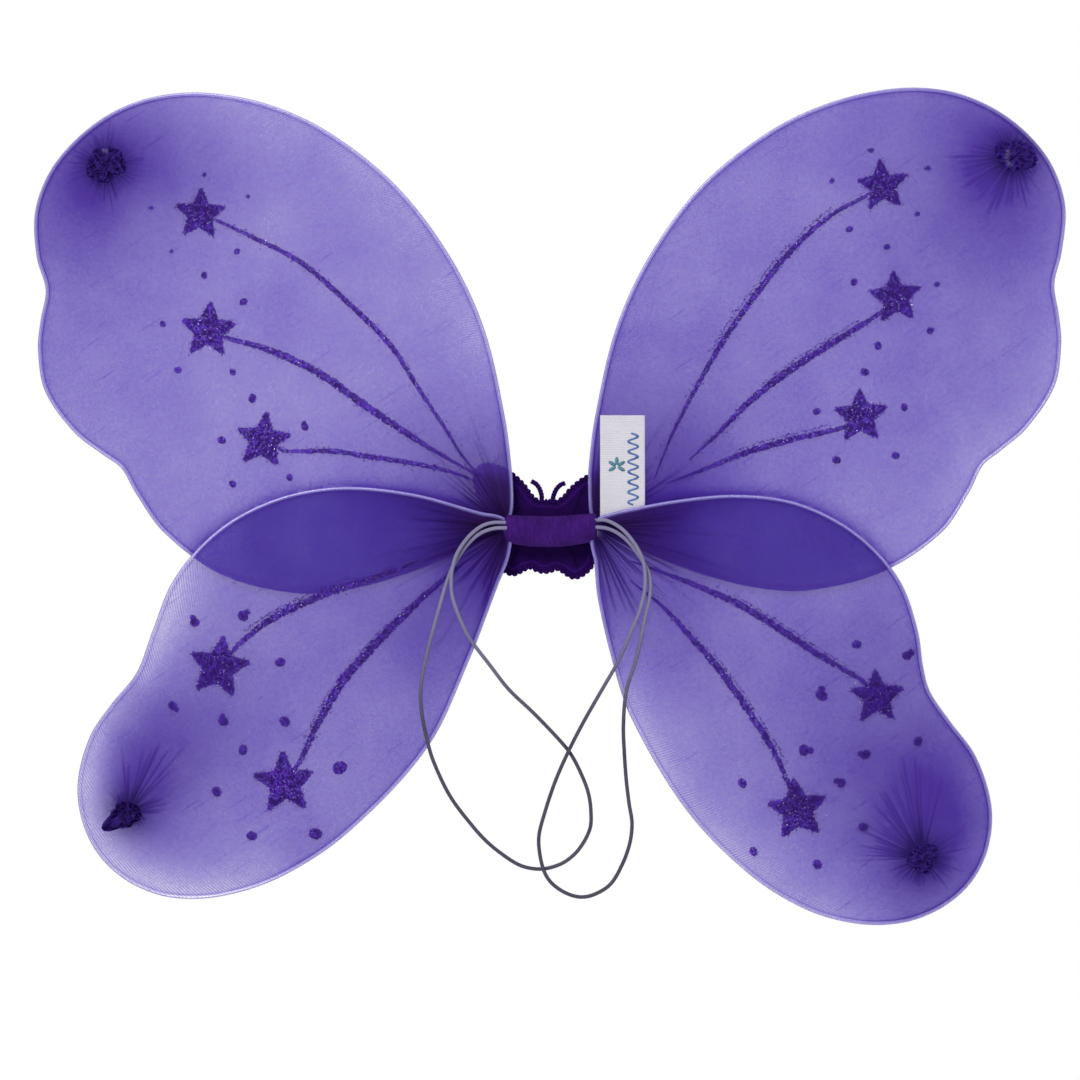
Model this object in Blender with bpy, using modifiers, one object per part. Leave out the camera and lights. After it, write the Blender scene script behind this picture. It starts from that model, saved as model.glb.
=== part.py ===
"""Child's fairy wings, as worn: +Z up, the wearer on the -Y side, +X to the right as seen from that side.

Four wire loops, each in a nylon stocking gathered at its tip and at its root, meet in a short felt band.
Each wing flexes backwards (+Y) on the springy wire where it enters the band, so each has a vertical hinge
at the band's mouth, and an upper wing rides on the lower wing in front of it. Two elastic loops go over the
wearer's arms. The origin is the centre of the band's flat front, which lies against the wearer's back.
"""

import math

import bmesh
import bpy
from mathutils import Matrix, Vector

MM = 0.001

# Driving dimensions, in millimetres.
BAND_RADIUS = 7.2
BAND_BORE = 5.0
BAND_HALF_LENGTH = 20.4
BAND_FLAT = 6.6  # from the band's axis to its flat front, and so the axis is this far behind the origin
BAND_SHOULDER = 1.5
WIRE_RADIUS = 0.6
WIRE_SPREAD = 0.75  # half the distance between a wing's two wires where they enter the band
LAYER = 1.6  # each wing's plane from the band's axis: the lower wings in front, the upper ones behind
TIP_BOW = 6.0  # how far the wings' tips curve backwards
BOW_SPAN = 235.0
ROOT_HEIGHT = 1.2
HINGE_X = 21.5
TAIL_X = (17.6, 19.2, 20.6)  # points along the straight tails that the root tie goes round
TIE_X = 18.4
COVER_THICKNESS = 0.8
COVER_ROOT_X = 25.0
GAP = 0.3
THREAD_RADIUS = 0.3
CORD_RADIUS = 0.9
CORE_RADIUS = 1.2
CORE_HALF_LENGTH = 14.0
PATCH_X = -2.4
PATCH_TURN = -3.0  # degrees: the patch is sewn on with its right side a little low
PATCH_THICKNESS = 1.2
PATCH_CORD_RADIUS = 0.8
ANTENNA_RADIUS = 1.0
UPPER_TILT = 0.3  # degrees: the right upper wing sits this much higher than its twin, the left this much lower

# Each wing's wire, from where it leaves the band along one edge, round the tip and back along the other edge,
# as (distance from the middle, height).
UPPER_LEFT_EDGE = (
    (17.7, 17), (18.4, 28), (21.3, 51), (30.4, 91.1), (45.6, 124), (70, 156.5), (100.7, 181.2), (128.3, 194),
    (157, 199.4), (179.9, 197.7), (198.7, 190.9), (214.7, 179.4), (227.1, 164.7), (234, 146.5), (233.4, 126),
    (229.3, 111), (231.7, 97), (233, 83.7), (229.9, 64.8), (216.8, 46.2), (203.9, 36.1), (195.3, 29.8),
    (188.6, 18.1), (175.9, 0.3), (150.2, -18.7), (117, -27.4), (93, -26), (68.4, -19.7), (47, -11.6),
)  # fmt: skip
UPPER_RIGHT_EDGE = (
    (17.7, 17), (17.9, 28), (20.9, 51), (30.5, 91), (45.8, 123.9), (70.1, 156.3), (101.1, 180.6), (128.5, 193.4),
    (157, 199.6), (180.1, 198.9), (199.5, 192.3), (216, 181), (228.6, 165.6), (234.8, 146.6), (233.1, 126),
    (229.6, 111), (231.6, 97), (232.6, 83.8), (229.6, 65), (216.9, 46), (204.5, 35.4), (196.5, 28.9), (190.3, 17),
    (177.5, -1.5), (150.6, -19.2), (117, -27.4), (93, -26), (68.4, -19.7), (47, -11.6),
)  # fmt: skip
LOWER_LEFT_EDGE = (
    (31.7, 7.5), (61, 15.6), (91.6, 19), (117, 15.9), (140, 6.8), (157.6, -6.3), (171.9, -24.4), (180.6, -46),
    (188, -65.3), (200, -80.2), (209.4, -94.5), (214.8, -115.2), (212.4, -133.6), (204.1, -149), (190.2, -160.4),
    (172, -166.5), (149.2, -165.6), (122.3, -156.6), (92.4, -136.7), (56.6, -98.3), (37.7, -58.7), (24.5, -24.4),
)  # fmt: skip
LOWER_RIGHT_EDGE = (
    (30.9, 8), (56.3, 12.9), (83.7, 15.4), (109, 12.6), (131, 3.2), (147.6, -9.9), (159.4, -25.8), (166.3, -46.4),
    (168.6, -62.3), (171.8, -73.7), (181, -87.3), (192.9, -103.6), (199.8, -125.8), (198.2, -144.8),
    (190.3, -160.3), (176.8, -171.6), (159.6, -177.9), (138.9, -178.2), (115.7, -171.6), (90.2, -155.6),
    (61.9, -126.6), (37, -85), (28.3, -58.7), (21.8, -30.3),
)  # fmt: skip
# The bends between the root tie and those edges: the upper wing's inner wire hooks up over the band's shoulder.
UPPER_ROOT_START = ((21.4, 2.6), (22.1, 4.8), (20.5, 8.2), (18.6, 11.6))
UPPER_ROOT_END = ((32, -4.6), (23.5, -0.2))
LOWER_ROOT_START = ((21.6, 2.8), (25, 5.8))
LOWER_ROOT_END = ((21.4, -13), (21, -7.5), (21.9, -2.6))

# Each wing's tip gather, as (distance from the middle, height, radius).
TIP_GATHERS = {
    "upper_left": (202.9, 166.2, 8.4),
    "upper_right": (211.1, 170.7, 8.4),
    "lower_left": (192.5, -128.2, 7.0),
    "lower_right": (168.8, -148.7, 6.4),
}

# The elastic loops' routes, as (x, distance in front of the band's axis, z). Each leaves the band by its upper
# hole and comes back to the lower one, and the right loop lies over the left one where they cross.
LEFT_LOOP = (
    (-20.7, 4.35, 3.3), (-26, 4.6, 3.4), (-31, 4.9, 2), (-35.5, 5.2, -1.2), (-39.3, 5.5, -5.4),
    (-42.5, 5.6, -10.5), (-44.2, 5.6, -15.2), (-45.2, 5.5, -21), (-44.9, 5, -29), (-43.1, 4.6, -35.4),
    (-40.6, 4.3, -41.8), (-36.8, 4, -49.2), (-27.3, 3.8, -61.8), (-19.1, 3.5, -72.3), (-8.2, 3.2, -82.7),
    (3.6, 3, -95), (9.1, 3, -101.8), (14, 3, -111.3), (17, 3, -119.6), (18.1, 3, -127.8), (17.6, 3, -135.6),
    (12.9, 3, -144.4), (6.8, 3, -150.1), (0, 3, -153), (-6.4, 3, -153.7), (-13.6, 3, -152.2), (-20.5, 3, -148.2),
    (-29, 3.1, -141.4), (-36.2, 3.2, -133.5), (-45.8, 3.4, -120.6), (-53.4, 3.7, -104.6), (-56.4, 3.8, -94.1),
    (-58.6, 3.8, -82.7), (-59, 3.8, -71.3), (-56.7, 3.8, -57.7), (-50.5, 3.7, -34.5), (-47.6, 3.6, -24.7),
    (-44.9, 3.6, -17.2), (-42.2, 3.6, -12.6), (-39.3, 3.6, -8.3), (-36.8, 3.9, -5.4), (-34.2, 4.3, -3),
    (-31.5, 4.7, -1.2), (-28, 5.2, 0.2), (-24.7, 5.5, 0.9), (-20.7, 5.7, 1),
)  # fmt: skip
RIGHT_LOOP = (
    (20.7, 4.35, 4.4), (24.3, 4.6, 4.5), (28.7, 4.9, 2.8), (33, 5.2, -0.3), (36.9, 5.5, -4.8), (40, 5.6, -9.8),
    (41.9, 5.6, -14.8), (42.7, 5.6, -20.6), (42.4, 5.6, -27), (41.4, 5.4, -32), (39.6, 5.2, -38.1),
    (37, 5.1, -44.2), (30.9, 5.1, -58.5), (21.8, 5.1, -74.5), (15, 5.2, -86.4), (8.2, 5.2, -99.6),
    (1.8, 5.2, -114.1), (-3.6, 5.2, -130.5), (-5.5, 5.2, -138.7), (-5.2, 5.2, -146), (-3.2, 5.2, -154.4),
    (0, 5.2, -159.6), (5.9, 4.9, -164), (12.7, 4.6, -166.2), (19.1, 4.4, -165.3), (26.8, 4.2, -160.6),
    (32.3, 4, -151.5), (35.7, 4, -141.9), (36.7, 4, -132.8), (35.4, 4, -124.1), (34.1, 4, -113.2),
    (33.2, 4, -100.5), (32.8, 4, -88.2), (34.1, 4, -73.2), (38.7, 3.9, -58.1), (42.8, 3.8, -39),
    (44.6, 3.6, -31), (45.1, 3.6, -25.8), (44.7, 3.6, -21), (43.3, 3.6, -17), (41.3, 3.6, -13.8),
    (39.3, 3.6, -10.7), (36.2, 3.8, -6.6), (33, 4.2, -3.4), (29.2, 4.8, -0.8), (24.8, 5.4, 0.9), (20.7, 5.7, 1.3),
)  # fmt: skip

# The butterfly patch's right half, from the head round the two lobes to the tail, about its own centre line.
PATCH_HALF = (
    (0, 12.4), (4.6, 12.4), (8.3, 15.1), (10.6, 18.2), (14.5, 22), (18.8, 24.9), (25.3, 27.3), (30, 27.2),
    (32.6, 24.6), (32.6, 20.5), (30, 13.5), (24, 4.5), (20.5, -1), (22.4, -7), (21, -15), (14.5, -20), (8, -17),
    (5, -16.4), (3, -17.6), (0, -18.2),
)  # fmt: skip
ANTENNA = ((2.6, 15), (3, 16.7), (3.9, 18.9), (5.6, 20.9), (7.8, 22))
LABEL = (22.3, 42.7, 3.4, 52.0)  # left, right, bottom, top
LABEL_THICKNESS = 0.5


def bow(x):
    """How far back, in millimetres, the wings curve at this distance from the middle."""
    return TIP_BOW * (x / BOW_SPAN) ** 2


def world(x, behind_axis, z):
    """A point in metres, from millimetres across, behind the band's axis and up."""
    return Vector((x, BAND_FLAT + behind_axis, z)) * MM


def clear_scene():
    for old in list(bpy.data.objects):
        bpy.data.objects.remove(old)


def new_collection(name):
    collection = bpy.data.collections.new(name)
    bpy.context.scene.collection.children.link(collection)
    return collection


def material(name, colour, roughness, metallic=0.0):
    made = bpy.data.materials.get(name)
    if made:
        return made
    made = bpy.data.materials.new(name)
    made.use_nodes = True
    shader = made.node_tree.nodes["Principled BSDF"]
    shader.inputs["Base Color"].default_value = (*colour, 1)
    shader.inputs["Roughness"].default_value = roughness
    shader.inputs["Metallic"].default_value = metallic
    return made


def steel():
    return material("spring_steel", (0.42, 0.43, 0.46), 0.3, 1.0)


def nylon():
    return material("lilac_nylon", (0.27, 0.2, 0.6), 0.55)


def thread():
    return material("purple_thread", (0.09, 0.03, 0.25), 0.8)


def felt():
    return material("purple_felt", (0.1, 0.025, 0.25), 0.95)


def lace():
    return material("dark_purple_lace", (0.02, 0.002, 0.07), 0.85)


def elastic():
    return material("lilac_elastic", (0.3, 0.27, 0.42), 0.6)


def ribbon():
    return material("white_ribbon", (0.7, 0.68, 0.72), 0.7)


def add_object(name, data, look, collection):
    made = bpy.data.objects.new(name, data)
    collection.objects.link(made)
    made.data.materials.append(look)
    return made


def through(points, steps, closed=False):
    """A smooth curve through the points, as steps points for each stretch between two of them."""
    knots = [Vector(p) for p in points]
    if closed:
        knots = [knots[-1], *knots, knots[0], knots[1]]
    else:
        knots = [2 * knots[0] - knots[1], *knots, 2 * knots[-1] - knots[-2]]
    path = []
    for before, start, end, after in zip(knots, knots[1:], knots[2:], knots[3:]):
        reach = (end - start).length
        leave = (end - before) * (reach / (reach + (start - before).length))
        arrive = (after - start) * (reach / (reach + (after - end).length))
        for step in range(steps):
            t = step / steps
            path.append(
                start * (2 * t**3 - 3 * t**2 + 1)
                + leave * (t**3 - 2 * t**2 + t)
                + end * (3 * t**2 - 2 * t**3)
                + arrive * (t**3 - t**2)
            )
    return path if closed else [*path, knots[-2]]


def tube(name, path, radius, look, collection, closed=False, resolution=2):
    """A round bar in millimetres along a path of world points in metres."""
    curve = bpy.data.curves.new(name, "CURVE")
    curve.dimensions = "3D"
    curve.bevel_depth = radius * MM
    curve.bevel_resolution = resolution
    curve.use_fill_caps = True
    spline = curve.splines.new("POLY")
    spline.points.add(len(path) - 1)
    for point, place in zip(spline.points, path):
        point.co = (*place, 1)
    spline.use_cyclic_u = closed
    return add_object(name, curve, look, collection)


def outline_mesh(outline, thickness):
    """A flat plate, in millimetres, whose outline is in X and Z, centred on Y = 0."""
    curve = bpy.data.curves.new("outline", "CURVE")
    curve.dimensions = "2D"
    curve.fill_mode = "BOTH"
    curve.extrude = thickness / 2
    spline = curve.splines.new("POLY")
    spline.points.add(len(outline) - 1)
    for point, place in zip(spline.points, outline):
        point.co = (place[0], place[1], 0, 1)
    spline.use_cyclic_u = True
    guide = bpy.data.objects.new("outline", curve)
    bpy.context.scene.collection.objects.link(guide)
    graph = bpy.context.evaluated_depsgraph_get()
    mesh = bpy.data.meshes.new_from_object(guide.evaluated_get(graph))
    bpy.data.objects.remove(guide)
    mesh.transform(Matrix.Rotation(math.radians(90), 4, "X"))
    return mesh


def bent_plate(name, outline, thickness, cut_every, bend, look, collection):
    """A plate cut into strips across X, so that bend(x), its place behind the band's axis, can curve it."""
    mesh = outline_mesh(outline, thickness)
    made = bmesh.new()
    made.from_mesh(mesh)
    bmesh.ops.remove_doubles(made, verts=made.verts, dist=0.001)
    low = min(p[0] for p in outline)
    high = max(p[0] for p in outline)
    cuts = int((high - low) / cut_every)
    for cut in range(1, cuts + 1):
        place = low + (high - low) * cut / (cuts + 1)
        everything = [*made.verts, *made.edges, *made.faces]
        bmesh.ops.bisect_plane(made, geom=everything, plane_co=(place, 0, 0), plane_no=(1, 0, 0))
    for vert in made.verts:
        vert.co = world(vert.co.x, vert.co.y + bend(vert.co.x), vert.co.z)
    bmesh.ops.recalc_face_normals(made, faces=made.faces)
    made.to_mesh(mesh)
    made.free()
    mesh.name = name
    return add_object(name, mesh, look, collection)


def turned(name, profile, steps, look, collection):
    """A shape turned about its own Z axis from a profile of (radius, height) in millimetres, top to bottom."""
    mesh = bpy.data.meshes.new(name)
    corners = [(radius * MM, 0, height * MM) for radius, height in profile]
    mesh.from_pydata(corners, [(i, i + 1) for i in range(len(corners) - 1)], [])
    made = add_object(name, mesh, look, collection)
    turn = made.modifiers.new("turn", "SCREW")
    turn.steps = steps
    turn.render_steps = steps
    turn.use_merge_vertices = True
    turn.merge_threshold = 0.00001
    turn.use_smooth_shade = True
    return made


def ring(name, centre, half_width, half_height, radius, look, collection):
    """A thread wound round a wing's two wires, which pass through it along X."""
    count = 16
    path = []
    for i in range(count):
        turn = 2 * math.pi * i / count
        path.append(centre + Vector((0, half_width * math.cos(turn), half_height * math.sin(turn))) * MM)
    return tube(name, path, radius, look, collection, closed=True, resolution=1)


# ---- wings ----


def wing_edge(wing):
    """The wing's wire from tail to tail, as (distance from the middle, height)."""
    height = ROOT_HEIGHT
    first_tail = [(x, height + WIRE_SPREAD) for x in TAIL_X]
    last_tail = [(x, height - WIRE_SPREAD) for x in reversed(TAIL_X)]
    if wing.startswith("upper"):
        tilt = math.radians(UPPER_TILT if wing.endswith("right") else -UPPER_TILT)
        edge = [
            (x * math.cos(tilt) - z * math.sin(tilt), x * math.sin(tilt) + z * math.cos(tilt))
            for x, z in (UPPER_LEFT_EDGE if wing.endswith("left") else UPPER_RIGHT_EDGE)
        ]
        return [*first_tail, *UPPER_ROOT_START, *edge, *UPPER_ROOT_END, *last_tail]
    edge = LOWER_LEFT_EDGE if wing.endswith("left") else LOWER_RIGHT_EDGE
    return [*first_tail, *LOWER_ROOT_START, *edge, *LOWER_ROOT_END, *last_tail]


def inside(edge_path, inset):
    """The part of a wing inside its wire and beyond its root, as an outline."""
    outline = []
    for before, here, after in zip(edge_path, edge_path[1:], edge_path[2:]):
        along = (after - before).normalized()
        moved = here + Vector((along.y, -along.x)) * inset
        if moved.x > COVER_ROOT_X or moved.y > COVER_ROOT_X or moved.y < -COVER_ROOT_X:
            outline.append(moved)
    return outline


def make_wing(wing, hinge, collection):
    """Wire, stocking, root tie, tip gather and its tie, all carried by the wing's hinge."""
    side = -1 if wing.endswith("left") else 1
    plane = LAYER if wing.startswith("upper") else -LAYER
    route = through(wing_edge(wing), 2)
    wire_path = [world(side * p.x, plane + bow(p.x), p.y) for p in (q.to_2d() for q in route)]
    wire = tube(f"{wing}_wire", wire_path, WIRE_RADIUS, steel(), collection)

    inset = WIRE_RADIUS + GAP + 0.15
    clear = inside([q.to_2d() for q in route], inset)
    outline = [(side * p.x, p.y) for p in clear]
    cover = bent_plate(
        f"{wing}_cover", outline, COVER_THICKNESS, 30, lambda x: plane + bow(x), nylon(), collection
    )

    tie = ring(
        f"{wing}_root_tie",
        world(side * TIE_X, plane, ROOT_HEIGHT),
        WIRE_RADIUS + 0.2 + THREAD_RADIUS,
        WIRE_SPREAD + WIRE_RADIUS + 0.2 + THREAD_RADIUS,
        THREAD_RADIUS,
        thread(),
        collection,
    )

    across, height, radius = TIP_GATHERS[wing]
    neck = 2.3
    gather = turned(
        f"{wing}_tip_gather",
        ((0, 6.4), (radius * 0.55, 6.0), (radius * 0.9, 4.9), (radius, 3.6), (radius * 0.8, 2.5), (neck, 2.0),
         (neck, 0), (0, 0)),
        16,
        nylon(),
        collection,
    )  # fmt: skip
    front = plane + bow(across) - COVER_THICKNESS / 2 - GAP
    gather.location = world(side * across, front, height)
    gather.rotation_euler = (math.radians(90), 0, 0)

    bpy.ops.mesh.primitive_torus_add(
        major_radius=(neck + GAP + THREAD_RADIUS) * MM,
        minor_radius=THREAD_RADIUS * MM,
        major_segments=16,
        minor_segments=6,
        location=world(side * across, front - 1.0, height),
        rotation=(math.radians(90), 0, 0),
    )
    tip_tie = bpy.context.object
    tip_tie.name = f"{wing}_tip_tie"
    tip_tie.data.materials.append(thread())
    for holder in list(tip_tie.users_collection):
        holder.objects.unlink(tip_tie)
    collection.objects.link(tip_tie)

    bpy.context.view_layer.update()
    for piece in (wire, cover, tie, gather, tip_tie):
        piece.parent = hinge
        piece.matrix_parent_inverse = hinge.matrix_world.inverted()


def make_hinge(wing, parent, collection):
    """An empty on the wing's vertical hinge axis, at the back of the band's mouth."""
    hinge = bpy.data.objects.new(f"{wing}_hinge", None)
    collection.objects.link(hinge)
    side = -1 if wing.endswith("left") else 1
    hinge.location = world(side * HINGE_X, LAYER, 0)
    bpy.context.view_layer.update()
    if parent:
        hinge.parent = parent
        hinge.matrix_parent_inverse = parent.matrix_world.inverted()
        bpy.context.view_layer.update()
    return hinge


# ---- centre ----


def make_band(collection, cutters):
    """The rolled felt band: a sleeve with rounded ends and a flat pressed along its front."""
    outer = BAND_RADIUS
    shoulder = BAND_SHOULDER
    end = BAND_HALF_LENGTH
    arc = [math.radians(a) for a in (0, 30, 60, 90)]
    upper = [(outer - shoulder + shoulder * math.sin(a), end - shoulder + shoulder * math.cos(a)) for a in arc]
    lower = [(radius, -height) for radius, height in reversed(upper)]
    profile = [(BAND_BORE, end), *upper, *lower, (BAND_BORE, -end), (BAND_BORE, end)]
    band = turned("centre_band", profile, 32, felt(), collection)
    band.rotation_euler = (0, math.radians(90), 0)
    band.location = world(0, 0, 0)

    depth = 4.0
    bpy.ops.mesh.primitive_cube_add(size=1, location=world(0, -BAND_FLAT - depth / 2, 0))
    press = bpy.context.object
    press.name = "band_flat_cutter"
    press.data.transform(Matrix.Diagonal((*(Vector((60, depth, 20)) * MM), 1)))
    press.display_type = "WIRE"
    press.hide_render = True
    for holder in list(press.users_collection):
        holder.objects.unlink(press)
    cutters.objects.link(press)
    flat = band.modifiers.new("flat_front", "BOOLEAN")
    flat.operation = "DIFFERENCE"
    flat.solver = "EXACT"
    flat.object = press


def make_core(collection):
    """What the band hides: the wires' twisted tails, the lashing round them and the elastic's knots."""
    height = 1.0
    for name, behind in (("upper_wire_tails", LAYER), ("lower_wire_tails", -LAYER)):
        ends = [world(x, behind, height) for x in (-CORE_HALF_LENGTH, 0, CORE_HALF_LENGTH)]
        tube(name, ends, CORE_RADIUS, steel(), collection)

    half_width = LAYER + CORE_RADIUS + GAP
    half_height = CORE_RADIUS + GAP
    lashing = ring(
        "core_lashing",
        world(0, 0, height),
        half_width + 0.45,
        half_height + 0.45,
        0.45,
        thread(),
        collection,
    )
    lashing.data.bevel_resolution = 2

    for name, x in (("left_elastic_knot", -8), ("right_elastic_knot", 8)):
        knot = bpy.data.meshes.new(name)
        made = bmesh.new()
        bmesh.ops.create_uvsphere(made, u_segments=12, v_segments=8, radius=1.3 * MM)
        made.to_mesh(knot)
        made.free()
        knot.transform(Matrix.Diagonal((1.8, 1, 1, 1)))
        piece = add_object(name, knot, elastic(), collection)
        piece.location = world(x, -1.2, -3)


def make_loops(collection):
    for name, route in (("left_elastic_loop", LEFT_LOOP), ("right_elastic_loop", RIGHT_LOOP)):
        path = through([world(x, -front, z) for x, front, z in route], 2)
        tube(name, path, CORD_RADIUS, elastic(), collection)


def patch_bend(x):
    """The patch lies against the band, and its lobes curl away behind the wings."""
    flat_half = 16.0
    return BAND_RADIUS + GAP + PATCH_THICKNESS / 2 + 0.019 * max(0.0, abs(x) - flat_half) ** 2


def on_patch(x, z):
    """A place on the patch, from its own centre line, in the object's frame."""
    turn = math.radians(PATCH_TURN)
    return Vector((PATCH_X + x * math.cos(turn) - z * math.sin(turn), x * math.sin(turn) + z * math.cos(turn)))


def patch_outline():
    right = through(PATCH_HALF, 2)
    left = [(-p[0], p[1]) for p in reversed(right[1:-1])]
    return [on_patch(x, z) for x, z in (p[:2] for p in [*right, *left])]


def make_patch(collection):
    """The butterfly: a ribbed base, a cord round its edge, a padded body and two antennae."""
    outline = patch_outline()
    bent_plate("patch_base", outline, PATCH_THICKNESS, 6, patch_bend, lace(), collection)

    away = PATCH_CORD_RADIUS + GAP
    count = len(outline)
    edge = []
    for i, place in enumerate(outline):
        along = (outline[(i + 1) % count] - outline[i - 1]).normalized()
        moved = place + Vector((-along.y, along.x)) * away
        edge.append(world(moved.x, patch_bend(moved.x), moved.y))
    tube("patch_edge_cord", edge, PATCH_CORD_RADIUS, lace(), collection, closed=True)

    body_depth = 1.6
    body = bpy.data.meshes.new("patch_body")
    made = bmesh.new()
    bmesh.ops.create_uvsphere(made, u_segments=14, v_segments=10, radius=MM)
    made.to_mesh(body)
    made.free()
    body.transform(Matrix.Diagonal((2.6, body_depth, 13, 1)))
    padded = add_object("patch_body", body, lace(), collection)
    behind = BAND_RADIUS + GAP + PATCH_THICKNESS + GAP + body_depth
    middle = on_patch(0, -2)
    padded.location = world(middle.x, behind, middle.y)
    padded.rotation_euler = (0, -math.radians(PATCH_TURN), 0)

    level = patch_bend(0)
    for name, side in (("left_antenna", -1), ("right_antenna", 1)):
        route = [on_patch(side * x, z) for x, z in ANTENNA]
        path = [world(p.x, level, p.y) for p in route]
        tube(name, through(path, 3), ANTENNA_RADIUS, lace(), collection)


def make_label(hinge, collection):
    """A folded ribbon caught between the two right wings, so that it moves with the lower one."""
    left, right, bottom, top = LABEL
    corners = [(left, bottom), (right, bottom), (right, top), (left, top)]
    label = bent_plate("label_ribbon", corners, LABEL_THICKNESS, 8, bow, ribbon(), collection)
    bpy.context.view_layer.update()
    label.parent = hinge
    label.matrix_parent_inverse = hinge.matrix_world.inverted()


def main():
    clear_scene()
    collection = new_collection("fairy_wings")
    cutters = new_collection("cutters")
    make_band(collection, cutters)
    make_core(collection)
    make_loops(collection)
    make_patch(collection)
    for side in ("left", "right"):
        lower = make_hinge(f"lower_{side}", None, collection)
        upper = make_hinge(f"upper_{side}", lower, collection)
        make_wing(f"lower_{side}", lower, collection)
        make_wing(f"upper_{side}", upper, collection)
        if side == "right":
            make_label(lower, collection)


main()
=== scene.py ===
import random
from math import copysign, cos, dist, exp, pi, radians, sin, sqrt
from random import uniform

import bmesh
import bpy
import numpy as np
from mathutils import Matrix, Vector, kdtree, noise
from mathutils.geometry import delaunay_2d_cdt

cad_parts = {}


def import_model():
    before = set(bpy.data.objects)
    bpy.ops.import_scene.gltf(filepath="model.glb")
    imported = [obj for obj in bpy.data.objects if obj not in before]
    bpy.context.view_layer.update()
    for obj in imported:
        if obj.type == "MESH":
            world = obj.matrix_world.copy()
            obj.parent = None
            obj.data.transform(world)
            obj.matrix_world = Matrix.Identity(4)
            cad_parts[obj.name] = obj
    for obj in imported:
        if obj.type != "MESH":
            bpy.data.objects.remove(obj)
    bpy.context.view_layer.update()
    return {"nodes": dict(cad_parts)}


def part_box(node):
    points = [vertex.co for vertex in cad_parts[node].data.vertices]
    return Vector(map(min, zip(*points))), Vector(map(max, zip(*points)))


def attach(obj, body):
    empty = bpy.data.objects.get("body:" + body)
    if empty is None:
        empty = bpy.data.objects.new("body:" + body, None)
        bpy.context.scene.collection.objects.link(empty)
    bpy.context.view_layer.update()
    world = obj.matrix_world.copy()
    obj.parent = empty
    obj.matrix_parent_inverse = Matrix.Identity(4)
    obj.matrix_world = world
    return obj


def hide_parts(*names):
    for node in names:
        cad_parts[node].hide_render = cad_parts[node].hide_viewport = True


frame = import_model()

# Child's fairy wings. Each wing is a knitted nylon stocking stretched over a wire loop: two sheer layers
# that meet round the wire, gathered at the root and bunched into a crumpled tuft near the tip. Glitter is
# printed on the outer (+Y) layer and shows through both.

MM = 0.001
WINGS = ("upper_left", "upper_right", "lower_left", "lower_right")

# ---- dimensions in millimetres, the design's own ----

BAND_RADIUS = 7.2
BAND_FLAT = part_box("centre_band")[1].y / MM - BAND_RADIUS  # the band's axis behind the origin
BAND_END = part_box("centre_band")[1].x / MM
WIRE_RADIUS = 0.6
WIRE_SPREAD = 0.75
SKIN = 0.74  # from the wire's centre to the nylon that wraps it
RIM_STEPS = 6
LAYER = 1.6
TIP_BOW = 6.0
BOW_SPAN = 235.0
ROOT_HEIGHT = 1.2
ROOT = (19.0, ROOT_HEIGHT)
TAIL_X = (17.6, 19.2, 20.6)
TIE_X = 19.1
CORD_RADIUS = 0.9
PATCH_CORD_RADIUS = 0.8
ANTENNA_RADIUS = 1.0
PATCH_THICKNESS = 1.2
PATCH_X = -2.4
PATCH_TURN = radians(-3.0)
UPPER_TILT = radians(0.3)
PRINT_THICKNESS = 0.30  # it soaks through the outer layer and stands a little off both sides
PRINT_DEPTH = 0.12  # how far of that lies below the layer's face
SPECK_THICKNESS = PRINT_THICKNESS * 0.8
RIB_PITCH = 0.8  # of the label's grosgrain
CORD_STEP = 0.42
CORD_SIDES = 20
TUFT_NECK = 0.22  # the neck's share of a tuft's rows

EDGES = {}  # each wing's wire between the turns at its root
EDGES["upper_left"] = (
    (17.7, 17), (18.4, 28), (21.3, 51), (30.4, 91.1), (45.6, 124), (70, 156.5), (100.7, 181.2), (128.3, 194),
    (157, 199.4), (179.9, 197.7), (198.7, 190.9), (214.7, 179.4), (227.1, 164.7), (234, 146.5), (233.4, 126),
    (229.3, 111), (231.7, 97), (233, 83.7), (229.9, 64.8), (216.8, 46.2), (203.9, 36.1), (195.3, 29.8),
    (188.6, 18.1), (175.9, 0.3), (150.2, -18.7), (117, -27.4), (93, -26), (68.4, -19.7), (47, -11.6),
)  # fmt: skip
EDGES["upper_right"] = (
    (17.7, 17), (17.9, 28), (20.9, 51), (30.5, 91), (45.8, 123.9), (70.1, 156.3), (101.1, 180.6),
    (128.5, 193.4), (157, 199.6), (180.1, 198.9), (199.5, 192.3), (216, 181), (228.6, 165.6), (234.8, 146.6),
    (233.1, 126), (229.6, 111), (231.6, 97), (232.6, 83.8), (229.6, 65), (216.9, 46), (204.5, 35.4),
    (196.5, 28.9), (190.3, 17), (177.5, -1.5), (150.6, -19.2), (117, -27.4), (93, -26), (68.4, -19.7),
    (47, -11.6),
)  # fmt: skip
EDGES["lower_left"] = (
    (31.7, 7.5), (61, 15.6), (91.6, 19), (117, 15.9), (140, 6.8), (157.6, -6.3), (171.9, -24.4),
    (180.6, -46), (188, -65.3), (200, -80.2), (209.4, -94.5), (214.8, -115.2), (212.4, -133.6),
    (204.1, -149), (190.2, -160.4), (172, -166.5), (149.2, -165.6), (122.3, -156.6), (92.4, -136.7),
    (56.6, -98.3), (37.7, -58.7), (24.5, -24.4),
)  # fmt: skip
EDGES["lower_right"] = (
    (30.9, 8), (56.3, 12.9), (83.7, 15.4), (109, 12.6), (131, 3.2), (147.6, -9.9), (159.4, -25.8),
    (166.3, -46.4), (168.6, -62.3), (171.8, -73.7), (181, -87.3), (192.9, -103.6), (199.8, -125.8),
    (198.2, -144.8), (190.3, -160.3), (176.8, -171.6), (159.6, -177.9), (138.9, -178.2), (115.7, -171.6),
    (90.2, -155.6), (61.9, -126.6), (37, -85), (28.3, -58.7), (21.8, -30.3),
)  # fmt: skip
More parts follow.
